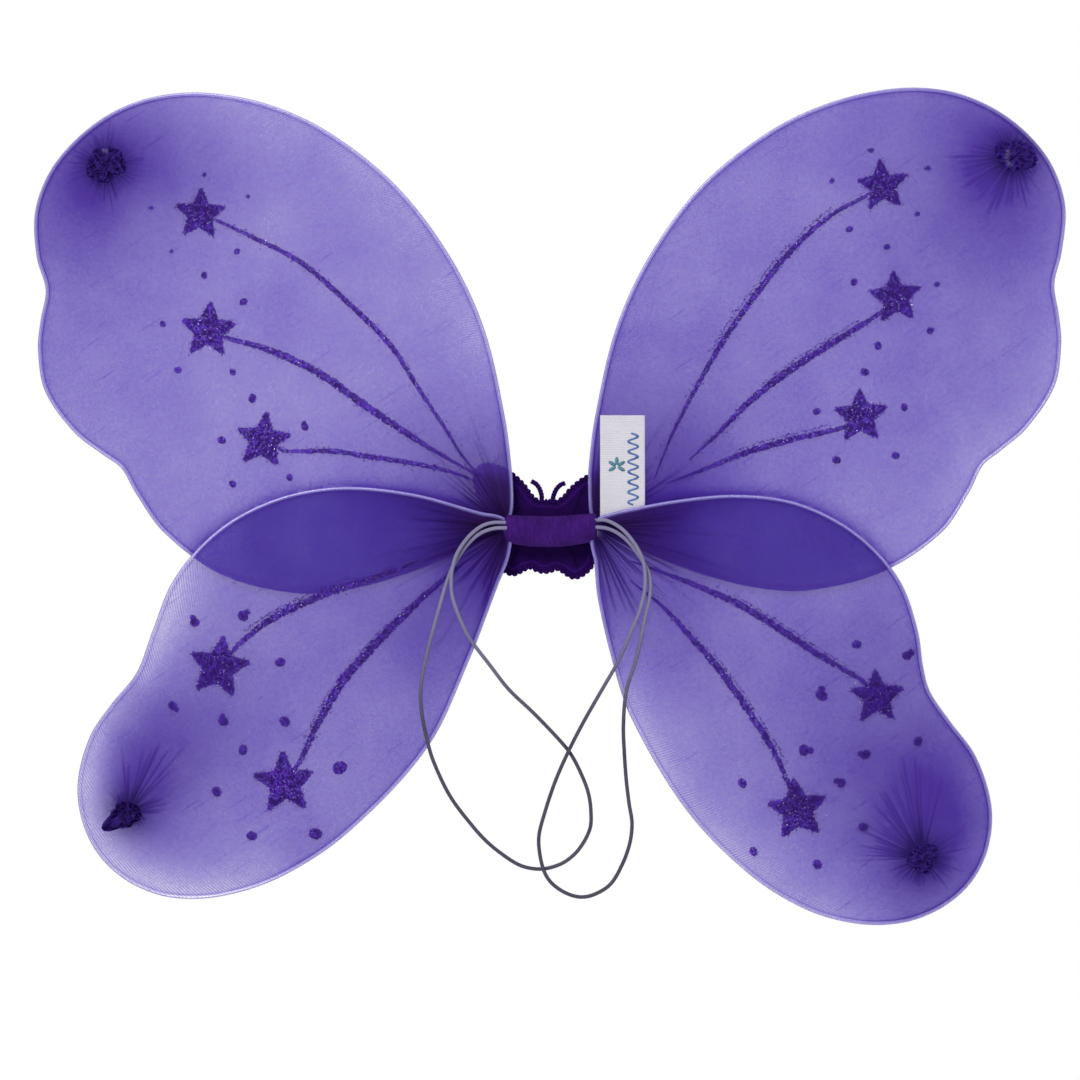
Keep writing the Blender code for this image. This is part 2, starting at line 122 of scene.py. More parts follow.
# The roll of felt is closed round the wings' roots, so the wires turn towards their tails inside it.
ROOT_TURNS = {
    "upper": (((20.5, 3.2), (19.2, 5.2), (18.1, 8.6), (17.8, 12.4)), ((32, -4.6), (23.5, -0.2))),
    "lower": (
        ((20.5, 3.4), (21.6, 5.1), (25.6, 6.5)), ((20.2, -14), (18.9, -8.5), (18.5, -4.6), (20.3, -1.6)),
    ),
}  # fmt: skip

# The elastic loops' routes, as (x, distance in front of the band's axis, z).
LEFT_LOOP = (
    (-20.7, 4.35, 3.3), (-26, 4.6, 3.4), (-31, 4.9, 2), (-35.5, 5.2, -1.2), (-39.3, 5.5, -5.4),
    (-42.5, 5.6, -10.5), (-44.2, 5.6, -15.2), (-45.2, 5.5, -21), (-44.9, 5, -29), (-43.1, 4.6, -35.4),
    (-40.6, 4.3, -41.8), (-36.8, 4, -49.2), (-27.3, 3.8, -61.8), (-19.1, 3.5, -72.3), (-8.2, 3.2, -82.7),
    (3.6, 3, -95), (9.1, 3, -101.8), (14, 3, -111.3), (17, 3, -119.6), (18.1, 3, -127.8), (17.6, 3, -135.6),
    (12.9, 3, -144.4), (6.8, 3, -150.1), (0, 3, -153), (-6.4, 3, -153.7), (-13.6, 3, -152.2),
    (-20.5, 3, -148.2), (-29, 3.1, -141.4), (-36.2, 3.2, -133.5), (-45.8, 3.4, -120.6), (-53.4, 3.7, -104.6),
    (-56.4, 3.8, -94.1), (-58.6, 3.8, -82.7), (-59, 3.8, -71.3), (-56.7, 3.8, -57.7), (-50.5, 3.7, -34.5),
    (-47.6, 3.6, -24.7), (-44.9, 3.6, -17.2), (-42.2, 3.6, -12.6), (-39.3, 3.6, -8.3), (-36.8, 3.9, -5.4),
    (-34.2, 4.3, -3), (-31.5, 4.7, -1.2), (-28, 5.2, 0.2), (-24.7, 5.5, 0.9), (-20.7, 5.7, 1),
)  # fmt: skip
RIGHT_LOOP = (
    (20.7, 4.35, 4.4), (24.3, 4.6, 4.5), (28.7, 4.9, 2.8), (33, 5.2, -0.3), (36.9, 5.5, -4.8),
    (40, 5.6, -9.8), (41.9, 5.6, -14.8), (42.7, 5.6, -20.6), (42.4, 5.6, -27), (41.4, 5.4, -32),
    (39.6, 5.2, -38.1), (37, 5.1, -44.2), (30.9, 5.1, -58.5), (21.8, 5.1, -74.5), (15, 5.2, -86.4),
    (8.2, 5.2, -99.6), (1.8, 5.2, -114.1), (-3.6, 5.2, -130.5), (-5.5, 5.2, -138.7), (-5.2, 5.2, -146),
    (-3.2, 5.2, -154.4), (0, 5.2, -159.6), (5.9, 4.9, -164), (12.7, 4.6, -166.2), (19.1, 4.4, -165.3),
    (26.8, 4.2, -160.6), (32.3, 4, -151.5), (35.7, 4, -141.9), (36.7, 4, -132.8), (35.4, 4, -124.1),
    (34.1, 4, -113.2), (33.2, 4, -100.5), (32.8, 4, -88.2), (34.1, 4, -73.2), (38.7, 3.9, -58.1),
    (42.8, 3.8, -39), (44.6, 3.6, -31), (45.1, 3.6, -25.8), (44.7, 3.6, -21), (43.3, 3.6, -17),
    (41.3, 3.6, -13.8), (39.3, 3.6, -10.7), (36.2, 3.8, -6.6), (33, 4.2, -3.4), (29.2, 4.8, -0.8),
    (24.8, 5.4, 0.9), (20.7, 5.7, 1.3),
)  # fmt: skip

PATCH_HALF = (
    (0, 12.4), (4.6, 12.4), (8.3, 15.1), (10.6, 18.2), (14.5, 22), (18.8, 24.9), (25.3, 27.3), (30, 27.2),
    (32.6, 24.6), (32.6, 20.5), (30, 13.5), (24, 4.5), (20.5, -1), (22.4, -7), (21, -15), (14.5, -20),
    (8, -17), (5, -16.4), (3, -17.6), (0, -18.2),
)  # fmt: skip
ANTENNA = ((2.6, 12.4), (2.6, 15), (3, 16.7), (3.9, 18.9), (5.6, 20.9), (7.8, 22))

# The printed decoration, as (distance from the middle, height): stars with their radius and the angle of one
# point, stems from star to root, and dots with their radius.
STARS = {
    "upper_left": ((160, 144, 12.2, 93), (156, 91, 13.2, 94), (131, 41, 13.2, 97)),
    "upper_right": ((151, 157, 12.3, 96), (157, 106, 12.8, 95), (141, 52, 13, 92)),
    "lower_left": ((151, -62.2, 14.8, 99), (121, -115, 14.8, 86)),
    "lower_right": ((148, -76, 13, 92), (112, -127, 14.5, 97)),
}
STEMS = {
    "upper_left": (
        ((152, 141), (135, 133), (114, 122), (94, 105), (73, 84), (60, 64), (48, 46), (39, 32), (28, 21)),
        ((146, 87), (128, 82), (105, 71), (85, 57), (64, 43), (46, 32), (30, 23)),
        ((121, 36), (101, 36), (80, 33), (60, 30), (41, 25), (28, 19)),
    ),
    "upper_right": (
        ((143, 152), (127, 143), (109, 127), (93, 107), (77, 84), (63, 59), (54, 41), (47, 23)),
        ((150, 99), (131, 87), (109, 73), (91, 59), (75, 43), (63, 32)),
        ((134, 47), (113, 42), (91, 36), (68, 27), (52, 21)),
    ),
    "lower_left": (
        ((142, -52), (128, -41), (110, -32), (91, -25), (73, -19), (60, -14)),
        ((114, -105), (105, -86), (94, -68), (78, -50), (62, -34), (46, -20), (32, -9)),
    ),
    "lower_right": (
        ((141, -68), (122, -57), (104, -45), (86, -34), (68, -26), (50, -19), (36, -14)),
        ((108, -116), (102, -102), (91, -84), (77, -64), (63, -48), (50, -34), (36, -23)),
    ),
}  # fmt: skip
DOTS = {
    "upper_left": (
        (158, 162, 1), (182, 147, 0.9), (138, 152, 0.9), (173, 127, 0.9), (143, 127, 1.4), (158, 116, 1.5),
        (140, 104, 1.7), (177, 94, 1.4), (170, 73, 1.6), (145, 72, 1.5), (136, 60, 1.9), (112, 47, 1.7),
        (150, 41, 1.8), (145, 21, 1.6), (119, 24, 1.5),
    ),
    "upper_right": (
        (146, 173, 1.1), (128, 159, 1.2), (172, 165, 1.1), (167, 144, 1.2), (136, 137, 1.5), (153, 129, 1.4),
        (138, 113, 1.6), (176, 112, 1.3), (173, 91, 1.6), (149, 84, 1.7), (143, 72, 1.8), (161, 56, 1.6),
        (121, 54, 1.6), (157, 34, 1.7), (130, 32, 1.8),
    ),
    "lower_left": (
        (140, -39, 2.3), (162, -42, 2), (123, -60, 2.2), (172, -80, 2), (149, -87, 2.1), (121, -87, 2.3),
        (140, -100, 2.1), (152, -119, 2.2), (96, -108, 3), (136, -139, 2.2), (107, -138, 2.7),
    ),
    "lower_right": (
        (139, -52, 2), (162, -57, 2.1), (123, -75, 2.6), (143, -102, 2.2), (115, -100, 2.4), (132, -115, 2.1),
        (167, -96, 2), (87, -115, 2), (142, -135, 2), (92, -146, 1.9), (121, -152, 2.1),
    ),
}  # fmt: skip

# Each tuft: half its width and half its height, and the fans of folds that run from it into the near layer,
# as (first angle, last angle, number of folds, length, width, strength). Angles are counted from straight
# outwards, anticlockwise on a right wing and clockwise on a left one.
TUFTS = {
    "upper_left": (8.4, 8.6, (
        (0, 360, 50, 14, 0.3, 0.6), (60, 110, 5, 24, 0.4, 0.3), (-115, -60, 9, 21, 0.4, 0.7),
        (-35, 30, 9, 22, 0.35, 0.4), (160, 200, 8, 18, 0.35, 0.5),
    )),
    "upper_right": (10.0, 7.0, (
        (0, 360, 46, 15, 0.3, 0.5), (165, 285, 17, 31, 0.5, 0.8), (-75, -30, 5, 20, 0.4, 0.6),
        (120, 160, 5, 18, 0.4, 0.5),
    )),
    "lower_left": (6.8, 6.0, (
        (0, 360, 34, 10, 0.3, 0.6), (84, 92, 2, 34, 0.42, 0.9), (103, 117, 4, 44, 0.42, 0.95),
        (122, 142, 3, 42, 0.42, 0.8), (150, 186, 5, 19, 0.4, 0.6), (20, 60, 4, 14, 0.3, 0.4),
    )),
    "lower_right": (6.5, 6.3, (
        (0, 360, 40, 13, 0.3, 0.6), (75, 186, 24, 36, 0.42, 0.7), (90, 106, 5, 46, 0.42, 0.8),
        (-60, 40, 8, 24, 0.35, 0.5), (200, 270, 6, 17, 0.35, 0.5),
    )),
}  # fmt: skip

# How far the dense nylon reaches from each tuft: all round, and further in two directions (angle, reach,
# sharpness); then the density that the whole wing has, and how far and how much it is gathered from its root.
HALOS = {
    "upper_left": (38, ((-50, 17, 2.5), (150, 6, 1)), 0.0, 47, 0.66),
    "upper_right": (40, ((-112, 14, 2), (150, 2, 1)), 0.09, 54, 0.80),
    "lower_left": (23, ((115, 45, 3), (90, 2, 1)), 0.09, 58, 0.74),
    "lower_right": (26, ((95, 42, 1.1), (97, 20, 12)), 0.11, 60, 0.44),
}
# Where the nylon is pulled thinnest: the side of the rim, as an angle like those above, and by how much.
THINNEST = dict(zip(WINGS, ((125, 0.25), (-10, 0.25), (-30, 1.4), (-170, 0.65))))
STEM_WIDTHS = dict(zip(WINGS, ((1.25, 1.7, 1.25), (1.35, 1.65, 1.4), (1.7, 1.9), (1.6, 1.6))))

# How dark each tuft is, its density together with the painted shade of its folds, and the places on it, from
# its middle, where an edge catches the light and is painted lighter (a painted highlight).
TUFT_TONE = {"upper_left": 0.08, "upper_right": -0.12, "lower_left": 0.28, "lower_right": -0.02}
TUFT_SHINE = {
    "upper_left": ((0.3, 6.4), (-0.7, 6.1)),
    "upper_right": ((-3.4, 1.4), (-3.7, 0.1), (-3.8, -1.3), (-3.6, -2.7), (-3.0, -4.0), (-2.2, -5.0)),
}

LABEL = (22.3, 42.7, 52.0)  # left, right, top
LABEL_FOOT = (4.2, 9.8)  # height of its lower edge at the left and at the right


# ---- shared shapes ----


def bow(x):
    return TIP_BOW * (x / BOW_SPAN) ** 2


def lengths(rows):
    return np.linalg.norm(rows, axis=1)


def steps_along(line, closed=False):
    """The line's direction at each of its points."""
    along = np.roll(line, -1, axis=0) - np.roll(line, 1, axis=0) if closed else np.gradient(line, axis=0)
    return along / lengths(along)[:, None]


def quarter_turn(along):
    return np.stack([-along[:, 1], along[:, 0]], axis=1)


def finder(points):
    """A search tree of flat points."""
    tree = kdtree.KDTree(len(points))
    for i, (x, z) in enumerate(points):
        tree.insert((x, z, 0), i)
    tree.balance()
    return tree


def gaps(tree, points):
    return np.array([tree.find((x, z, 0))[2] for x, z in points])


def triangulated(ring, loose):
    """Points and triangles inside a ring, and which of those points each ring point became."""
    made = delaunay_2d_cdt([Vector(p) for p in (*ring, *loose)], [], [list(range(len(ring)))], 1, 1e-4)
    whose = {}
    for index, sources in enumerate(made[3]):
        for source in sources:
            whose.setdefault(source, index)
    points = np.array([list(p) for p in made[0]])
    return points, [tuple(f) for f in made[2]], [whose[i] for i in range(len(ring))]


def staggered(across, up, step):
    """Points in staggered rows."""
    x, z = np.meshgrid(np.arange(*across, step), np.arange(*up, step * 0.866))
    x = x + (np.arange(x.shape[0])[:, None] % 2) * step / 2
    return np.stack([x.ravel(), z.ravel()], axis=1)


def world(x, behind_axis, z):
    return Vector((x, BAND_FLAT + behind_axis, z)) * MM


def through(points, steps):
    """A smooth curve through the points, as steps points for each span between two of them."""
    knots = [Vector(p) for p in points]
    knots = [2 * knots[0] - knots[1], *knots, 2 * knots[-1] - knots[-2]]
    path = []
    for before, start, end, after in zip(knots, knots[1:], knots[2:], knots[3:]):
        reach = (end - start).length
        leave = (end - before) * (reach / (reach + (start - before).length))
        arrive = (after - start) * (reach / (reach + (after - end).length))
        for step in range(steps):
            t = step / steps
            path.append(
                start * (2 * t**3 - 3 * t**2 + 1)
                + leave * (t**3 - 2 * t**2 + t)
                + end * (3 * t**2 - 2 * t**3)
                + arrive * (t**3 - t**2)
            )
    return [*path, knots[-2]]


def spaced(points, step):
    """The same line as equally spaced rows of an array, about step apart."""
    line = np.array([list(p) for p in points], float)
    along = np.concatenate([[0], np.cumsum(lengths(np.diff(line, axis=0)))])
    wanted = np.linspace(0, along[-1], max(3, int(along[-1] / step) + 1))
    return np.stack([np.interp(wanted, along, line[:, k]) for k in range(line.shape[1])], axis=1)


def smooth_step(value):
    t = np.clip(value, 0, 1)
    return t * t * (3 - 2 * t)


def hold(name, shape, look, body, replaces=None, smooth=True):
    """A mesh, or its (points, faces), as a finished piece on its body, in place of the frame's node."""
    mesh = mesh_of(name, *shape) if isinstance(shape, tuple) else shape
    if smooth:
        mesh.shade_smooth()
    piece = bpy.data.objects.new(name, mesh)
    bpy.context.scene.collection.objects.link(piece)
    mesh.materials.append(look)
    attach(piece, body)
    if replaces:
        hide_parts(replaces)
    return piece


def mesh_of(name, points, faces):
    """A mesh from points in metres, with its faces turned outwards."""
    mesh = bpy.data.meshes.new(name)
    mesh.from_pydata([tuple(p) for p in points], [], faces)
    work = bmesh.new()
    work.from_mesh(mesh)
    bmesh.ops.recalc_face_normals(work, faces=work.faces)
    work.to_mesh(mesh)
    work.free()
    return mesh


def joined(shapes):
    """Several (points, faces) as one."""
    points, faces = [], []
    for more, quads in shapes:
        start = len(points)
        points.extend(more)
        faces.extend([tuple(i + start for i in face) for face in quads])
    return points, faces


def rows_to_faces(rows, sides, closed=False, capped=True):
    """Quads between rows of points that run round a tube, with a cap at each open end."""
    faces = []
    for row in range(rows if closed else rows - 1):
        after = (row + 1) % rows
        for k in range(sides):
            turn = (k + 1) % sides
            faces.append((row * sides + k, after * sides + k, after * sides + turn, row * sides + turn))
    if capped and not closed:
        faces.append(tuple(reversed(range(sides))))
        faces.append(tuple(range((rows - 1) * sides, rows * sides)))
    return faces


def swept(path, sides, section, closed=False, up=(0, 1, 0)):
    """A tube along a path in millimetres; section(distance along, angle) gives its radius in millimetres."""
    line = np.array(path, float)
    tangent = steps_along(line, closed)
    side = np.array(up, float) - (tangent @ np.array(up, float))[:, None] * tangent
    side /= lengths(side)[:, None]
    other = np.cross(tangent, side)
    along = np.concatenate([[0], np.cumsum(lengths(np.diff(line, axis=0)))])[:, None]
    turn = (np.arange(sides) * 2 * pi / sides)[None, :]
    radius = np.broadcast_to(section(along, turn), (len(line), sides))
    around = side[:, None, :] * np.cos(turn)[:, :, None] + other[:, None, :] * np.sin(turn)[:, :, None]
    points = line[:, None, :] + around * radius[:, :, None]
    return (points.reshape(-1, 3) * MM).tolist(), rows_to_faces(len(line), sides, closed)


def grooved(centre, radius, radius_z, axis, half_turns=7, length=1.1):
    """A helix of thread in millimetres, round X or round Y."""
    steps = half_turns * 14
    path = []
    for i in range(steps + 1):
        turn = pi * half_turns * i / steps
        ahead, aside = length * (i / steps - 0.5), radius * cos(turn)
        x, y = (ahead, aside) if axis == "x" else (aside, ahead)
        path.append((centre[0] + x, centre[1] + y, centre[2] + radius_z * sin(turn)))
    return path


# ---- materials ----


class Value:
    """A number or vector that a material works out at each point: arithmetic on it adds Math nodes."""

    def __init__(self, look, socket):
        self.look = look
        self.socket = socket

    def math(self, operation, other=None):
        inputs = {0: self} if other is None else {0: self, 1: other}
        return Value(self.look, self.look.node("Math", inputs, operation=operation).outputs[0])

    def __add__(self, other):
        return self.math("ADD", other)

    def __sub__(self, other):
        return self.math("SUBTRACT", other)

    def __mul__(self, other):
        return self.math("MULTIPLY", other)

    def sine(self, period):
        """From -1 to 1 and back over each period."""
        return (self * (2 * pi / period)).math("SINE")

    def above(self, edge, width):
        """0 below edge and 1 above edge + width."""
        return ((self - edge) * (1 / width)).math("MINIMUM", 1.0).math("MAXIMUM", 0.0)

    def clamped(self, low, high):
        return self.math("MAXIMUM", low).math("MINIMUM", high)


class Nodes:
    """A node tree, built one node at a time."""

    def __init__(self, tree):
        self.tree = tree

    def feed(self, entry, value):
        if isinstance(value, (Value, bpy.types.NodeSocket)):
            self.tree.links.new(getattr(value, "socket", value), entry)
        elif isinstance(value, tuple) and len(value) == 3 and len(entry.default_value) == 4:
            entry.default_value = (*value, 1)
        else:
            entry.default_value = value

    def node(self, kind, inputs, **settings):
        made = self.tree.nodes.new(f"ShaderNode{kind}")
        for key, value in settings.items():
            setattr(made, key, value)
        for key, value in inputs.items():
            self.feed(made.inputs[key], value)
        return made


class Look(Nodes):
    """A material, with its base colour, roughness and bump worked out from the place."""

    def __init__(self, name, roughness=0.6, metallic=0.0, sheen=0.0, sheen_tint=(1, 1, 1), specular=0.5):
        self.material = bpy.data.materials.new(name)
        self.material.use_nodes = True
        super().__init__(self.material.node_tree)
        self.shader = self.tree.nodes["Principled BSDF"]
        for entry, value in (
            ("Roughness", roughness), ("Metallic", metallic), ("Sheen Weight", sheen),
            ("Sheen Tint", sheen_tint), ("Specular IOR Level", specular),
        ):  # fmt: skip
            self.feed(self.shader.inputs[entry], value)
        self.place = self.node("TexCoord", {}).outputs["Object"]

    def stretched(self, across, depth, up, turn=0.0):
        """The place in millimetres, turned about Y and scaled, so that a texture can be drawn out."""
        turned = self.node("Mapping", {"Vector": self.place, "Rotation": (0, turn, 0)}).outputs[0]
        scale = (across / MM, depth / MM, up / MM)
        return self.node("Mapping", {"Vector": turned, "Scale": scale}).outputs[0]

    def noise(self, size, detail=2.0, vector=None, rough=0.5):
        """Smooth values about 0.5, with lumps of this size in millimetres, or of 1 in the vector's units."""
        inputs = {"Vector": vector or self.place, "Detail": detail, "Roughness": rough}
        inputs["Scale"] = 1.0 if vector else 1 / (size * MM)
        return Value(self, self.node("TexNoise", inputs).outputs[0])

    def attribute(self, name):
        return Value(self, self.node("Attribute", {}, attribute_name=name).outputs["Fac"])

    def axis(self, letter):
        """The X, Y or Z place in millimetres."""
        parts = self.node("SeparateXYZ", {0: self.place})
        return Value(self, parts.outputs[letter]) * (1 / MM)

    def blend(self, share, first, second):
        """A colour between two."""
        return self.node("Mix", {0: share, 6: first, 7: second}, data_type="RGBA").outputs[2]

    def bump(self, height, distance, strength=1.0):
        node = self.node("Bump", {"Height": height, "Distance": distance * MM, "Strength": strength})
        self.feed(self.shader.inputs["Normal"], node.outputs[0])

    def colour(self, socket):
        self.feed(self.shader.inputs["Base Color"], socket)

    def roughness(self, value):
        self.feed(self.shader.inputs["Roughness"], value)


def nylon_look(name, opening, front, back, dense_front, dense_back):
    """Sheer knit: fibres cover part of the surface and let coloured light through; the rest is holes."""
    look = Look(name, roughness=0.5, sheen=0.03, sheen_tint=(0.4, 0.2, 1.0), specular=0.08)
    gather = look.attribute("gather")
    crease = look.attribute("crease")
    stretch = look.attribute("stretch")
    rows = look.attribute("course").sine(1.1)
    pulled = (gather * -1.0).clamped(0, 0.6)
    grain = look.noise(0.6, 2.0) - 0.5
    mottle = look.noise(1.7, 2.0) - 0.5
    cloud = look.noise(34, 2.0) - 0.5
    snags = look.noise(1, 1.0, look.stretched(0.05, 0.2, 1.1, 0.6)).above(0.70, 0.05)
    calm = gather.clamped(0, 1) * -0.7 + 1
    knit = (rows * (pulled * 0.17 + 0.03) + grain * 0.40 + mottle * 0.16 + snags * 0.12) * calm + cloud * 0.18
    cover = (gather * 0.38 + crease * 0.32 + knit - stretch * 0.16 + (1 - opening)).clamped(0.05, 0.99)
    # denser nylon is coloured deeper; the crease attribute adds painted shade this way in folds, along the
    # inside of the wire and above the lower wing
    dense = (gather * 0.8 + crease * 0.5).clamped(0, 1)
    # painted shade: in folds the fibres are coloured towards near black
    pleat = (look.attribute("pleat") * 0.62).clamped(0, 0.85)
    lit = look.blend(pleat, look.blend(dense, front, dense_front), (0.010, 0.002, 0.05))
    # painted highlight: where the nylon wraps the wire its fibres are coloured light lilac, standing in for
    # the bright wire and the fibres' sheen; the thinner cover there is real
    look.colour(look.blend(stretch, lit, (0.50, 0.42, 0.85)))
    look.bump(rows * 0.5 + grain * 0.6, 0.12, 0.5)
    passing = look.blend(pleat, look.blend(dense, back, dense_back), (0.02, 0.004, 0.11))
    glow = look.node("BsdfTranslucent", {"Color": passing})
    fibre = look.node("MixShader", {0: 0.7, 1: look.shader.outputs[0], 2: glow.outputs[0]})
    clear = look.node("BsdfTransparent", {"Color": (1.0, 1.0, 1.0)})
    mixed = look.node("MixShader", {0: cover, 1: clear.outputs[0], 2: fibre.outputs[0]})
    look.feed(look.tree.nodes["Material Output"].inputs["Surface"], mixed.outputs[0])
    return look.material


def steel_look():
    look = Look("drawn_spring_steel", metallic=1.0)
    tarnish = look.noise(9, 3.0)
    scratches = look.noise(0.25, 2.0)
    look.colour(look.blend(tarnish, (0.95, 0.95, 0.98), (0.8, 0.8, 0.86)))
    look.roughness(scratches * 0.2 + 0.4)
    look.bump(scratches, 0.02, 0.4)
    return look.material


def thread_look(name, light, dark):
    look = Look(name, roughness=0.75, sheen=0.3, sheen_tint=light)
    ply = look.noise(1, 1.0, look.stretched(2.4, 2.4, 2.4, 0.7))
    look.colour(look.blend(ply, dark, light))
    look.bump(ply, 0.15, 0.8)
    return look.material


def elastic_look():
    """Round braided elastic, where the braid is in the mesh and its threads are in the bump."""
    tint = (0.85, 0.82, 1.0)
    look = Look("braided_lilac_elastic", roughness=0.5, sheen=0.1, sheen_tint=tint, specular=0.35)
    braid = look.attribute("braid")
    fine = look.noise(0.28, 2.0)
    wear = look.noise(14, 2.0)
    # painted shade: the braid's grooves are coloured dark and its strands light
    braid_shade = (braid * 0.8 + fine * 0.35).clamped(0, 1)
    # painted shade: a lit and a shaded copy of the elastic; the shaded one colours the loops below 88 mm down
    # and blends into the lit one by 32 mm down
    lit_elastic = look.blend(braid_shade, (0.07, 0.06, 0.14), look.blend(wear, (0.36, 0.33, 0.50), (0.27, 0.25, 0.40)))
    shaded_elastic = look.blend(braid_shade, (0.018, 0.016, 0.034), look.blend(wear, (0.13, 0.12, 0.19), (0.05, 0.045, 0.075)))
    look.colour(look.blend(look.axis("Z").above(-88, 56), shaded_elastic, lit_elastic))
    look.bump(fine + braid, 0.1, 0.6)
    return look.material


def felt_look():
    """Brushed felt with a nap that runs up and down the roll."""
    look = Look("brushed_purple_felt", roughness=0.95, sheen=0.07, sheen_tint=(0.4, 0.12, 0.9), specular=0.1)
    nap = look.noise(1, 3.0, look.stretched(1.1, 0.35, 0.22, 0.05), 0.65)
    fuzz = look.noise(0.35, 3.0, None, 0.7)
    patches = look.noise(7, 2.0)
    tone = (nap * 0.85 + fuzz * 0.35 + patches * 0.5 - 0.42).clamped(0, 1)
    look.colour(look.blend(tone, (0.008, 0.001, 0.04), (0.088, 0.016, 0.27)))
    look.bump(fuzz + nap, 0.35, 0.8)
    return look.material


def lace_look():
    """Dense machine embroidery: satin stitches with a low shine, their grooves painted darker than their
    ridges (painted shade).
    """
    tint = (0.4, 0.15, 0.9)
    look = Look("embroidered_dark_purple", roughness=0.65, sheen=0.02, sheen_tint=tint, specular=0.03)
    stitch = look.attribute("stitch")
    fine = look.noise(0.3, 2.0)
    cloud = look.noise(5, 2.0)
    tone = (stitch * 0.75 + fine * 0.3 + cloud * 0.4 - 0.28).clamped(0, 1)
    look.colour(look.blend(tone, (0.002, 0.0002, 0.012), (0.042, 0.005, 0.16)))
    look.roughness(fine * 0.25 + 0.5)
    look.bump(fine * 0.5 + stitch, 0.15, 0.6)
    return look.material


def ribbon_look():
    """White grosgrain, whose rib relief is in the mesh and whose rib grooves are painted darker (painted
    shade).
    """
    look = Look("white_grosgrain", roughness=0.65, sheen=0.15)
    weave = look.noise(1, 1.0, look.stretched(3.4, 1, 1.2, 0))
    ribs_and_shade = look.axis("Z").sine(RIB_PITCH)
    grime = look.noise(9, 3.0)
    # painted shade: the colour follows the rib relief, darker in the grooves
    tone = (weave * 0.35 + ribs_and_shade * 0.16 + grime * 0.25 + 0.28).clamped(0, 1)
    look.colour(look.blend(tone, (0.40, 0.38, 0.44), (0.76, 0.74, 0.80)))
    look.bump(weave * 0.6 + ribs_and_shade * 0.3, 0.08, 0.6)
    return look.material


def ink_look(name, colour):
    look = Look(name, roughness=0.6)
    ribs_and_shade = look.axis("Z").sine(RIB_PITCH)
    wear = look.noise(0.6, 2.0)
    pale = tuple(0.6 * c + 0.25 for c in colour)
    # the rib relief's painted shade shows in the ink too
    look.colour(look.blend((wear * 0.7 + ribs_and_shade * 0.1 - 0.1).clamped(0, 1), colour, pale))
    look.bump(ribs_and_shade, 0.05, 0.4)
    return look.material


def glitter_look():
    """Dark purple print full of glitter, a little of which is turned towards the light; its metal flakes are
    coloured bright, partly a painted glint, and some grains light purple as a painted sparkle.
    """
    look = Look("purple_glitter_print", roughness=0.45, specular=0.15)
    cells = look.node("TexVoronoi", {"Vector": look.place, "Scale": 1 / (0.75 * MM)})
    parts = look.node("SeparateColor", {0: cells.outputs["Color"]})
    chance = Value(look, parts.outputs[0])
    hue = Value(look, parts.outputs[1])
    inside = Value(look, cells.outputs["Distance"])
    flake = chance.above(0.86, 0.02) * (inside.above(0.42, 0.05) * -1.0 + 1.0)
    # painted sparkle: about a third of the cells are coloured light purple
    grains_and_sparkle = hue.above(0.62, 0.06) * 0.9
    cloud = look.noise(2.5, 3.0)
    ground = look.blend(cloud, (0.006, 0.001, 0.03), (0.030, 0.004, 0.14))
    ground = look.blend(grains_and_sparkle, ground, (0.42, 0.15, 1.0))
    metal_and_glint = look.blend(hue, (0.68, 0.56, 1.0), (0.5, 0.62, 1.0))
    look.colour(look.blend(flake, ground, metal_and_glint))
    look.feed(look.shader.inputs["Metallic"], flake * 0.3)
    look.roughness(flake * -0.25 + 0.5)
    look.bump(chance, 0.25, 0.9)
    return look.material


def flake_look():
    look = Look("loose_glitter_flake", roughness=0.3, metallic=0.35)
    # the flakes are partly metal; their bright lilac colour is partly a painted glint
    look.colour(look.blend(look.noise(3, 1.0), (0.88, 0.84, 1.0), (0.62, 0.6, 1.0)))
    look.bump(look.noise(0.2, 1.0), 0.05, 0.3)
    return look.material


def floor_look():
    look = Look("pale_floor", roughness=0.9)
    look.colour(look.blend(look.noise(120, 3.0), (0.86, 0.86, 0.87), (0.9, 0.9, 0.91)))
    return look.material


# ---- camera, light and floor ----

VIEW_WIDTH = 491.4  # what the picture shows across at the wings' plane
VIEW_CENTRE = (-5.0, -4.5)
CAMERA_FAR = 1700.0
FLOOR_DROP = 0.62


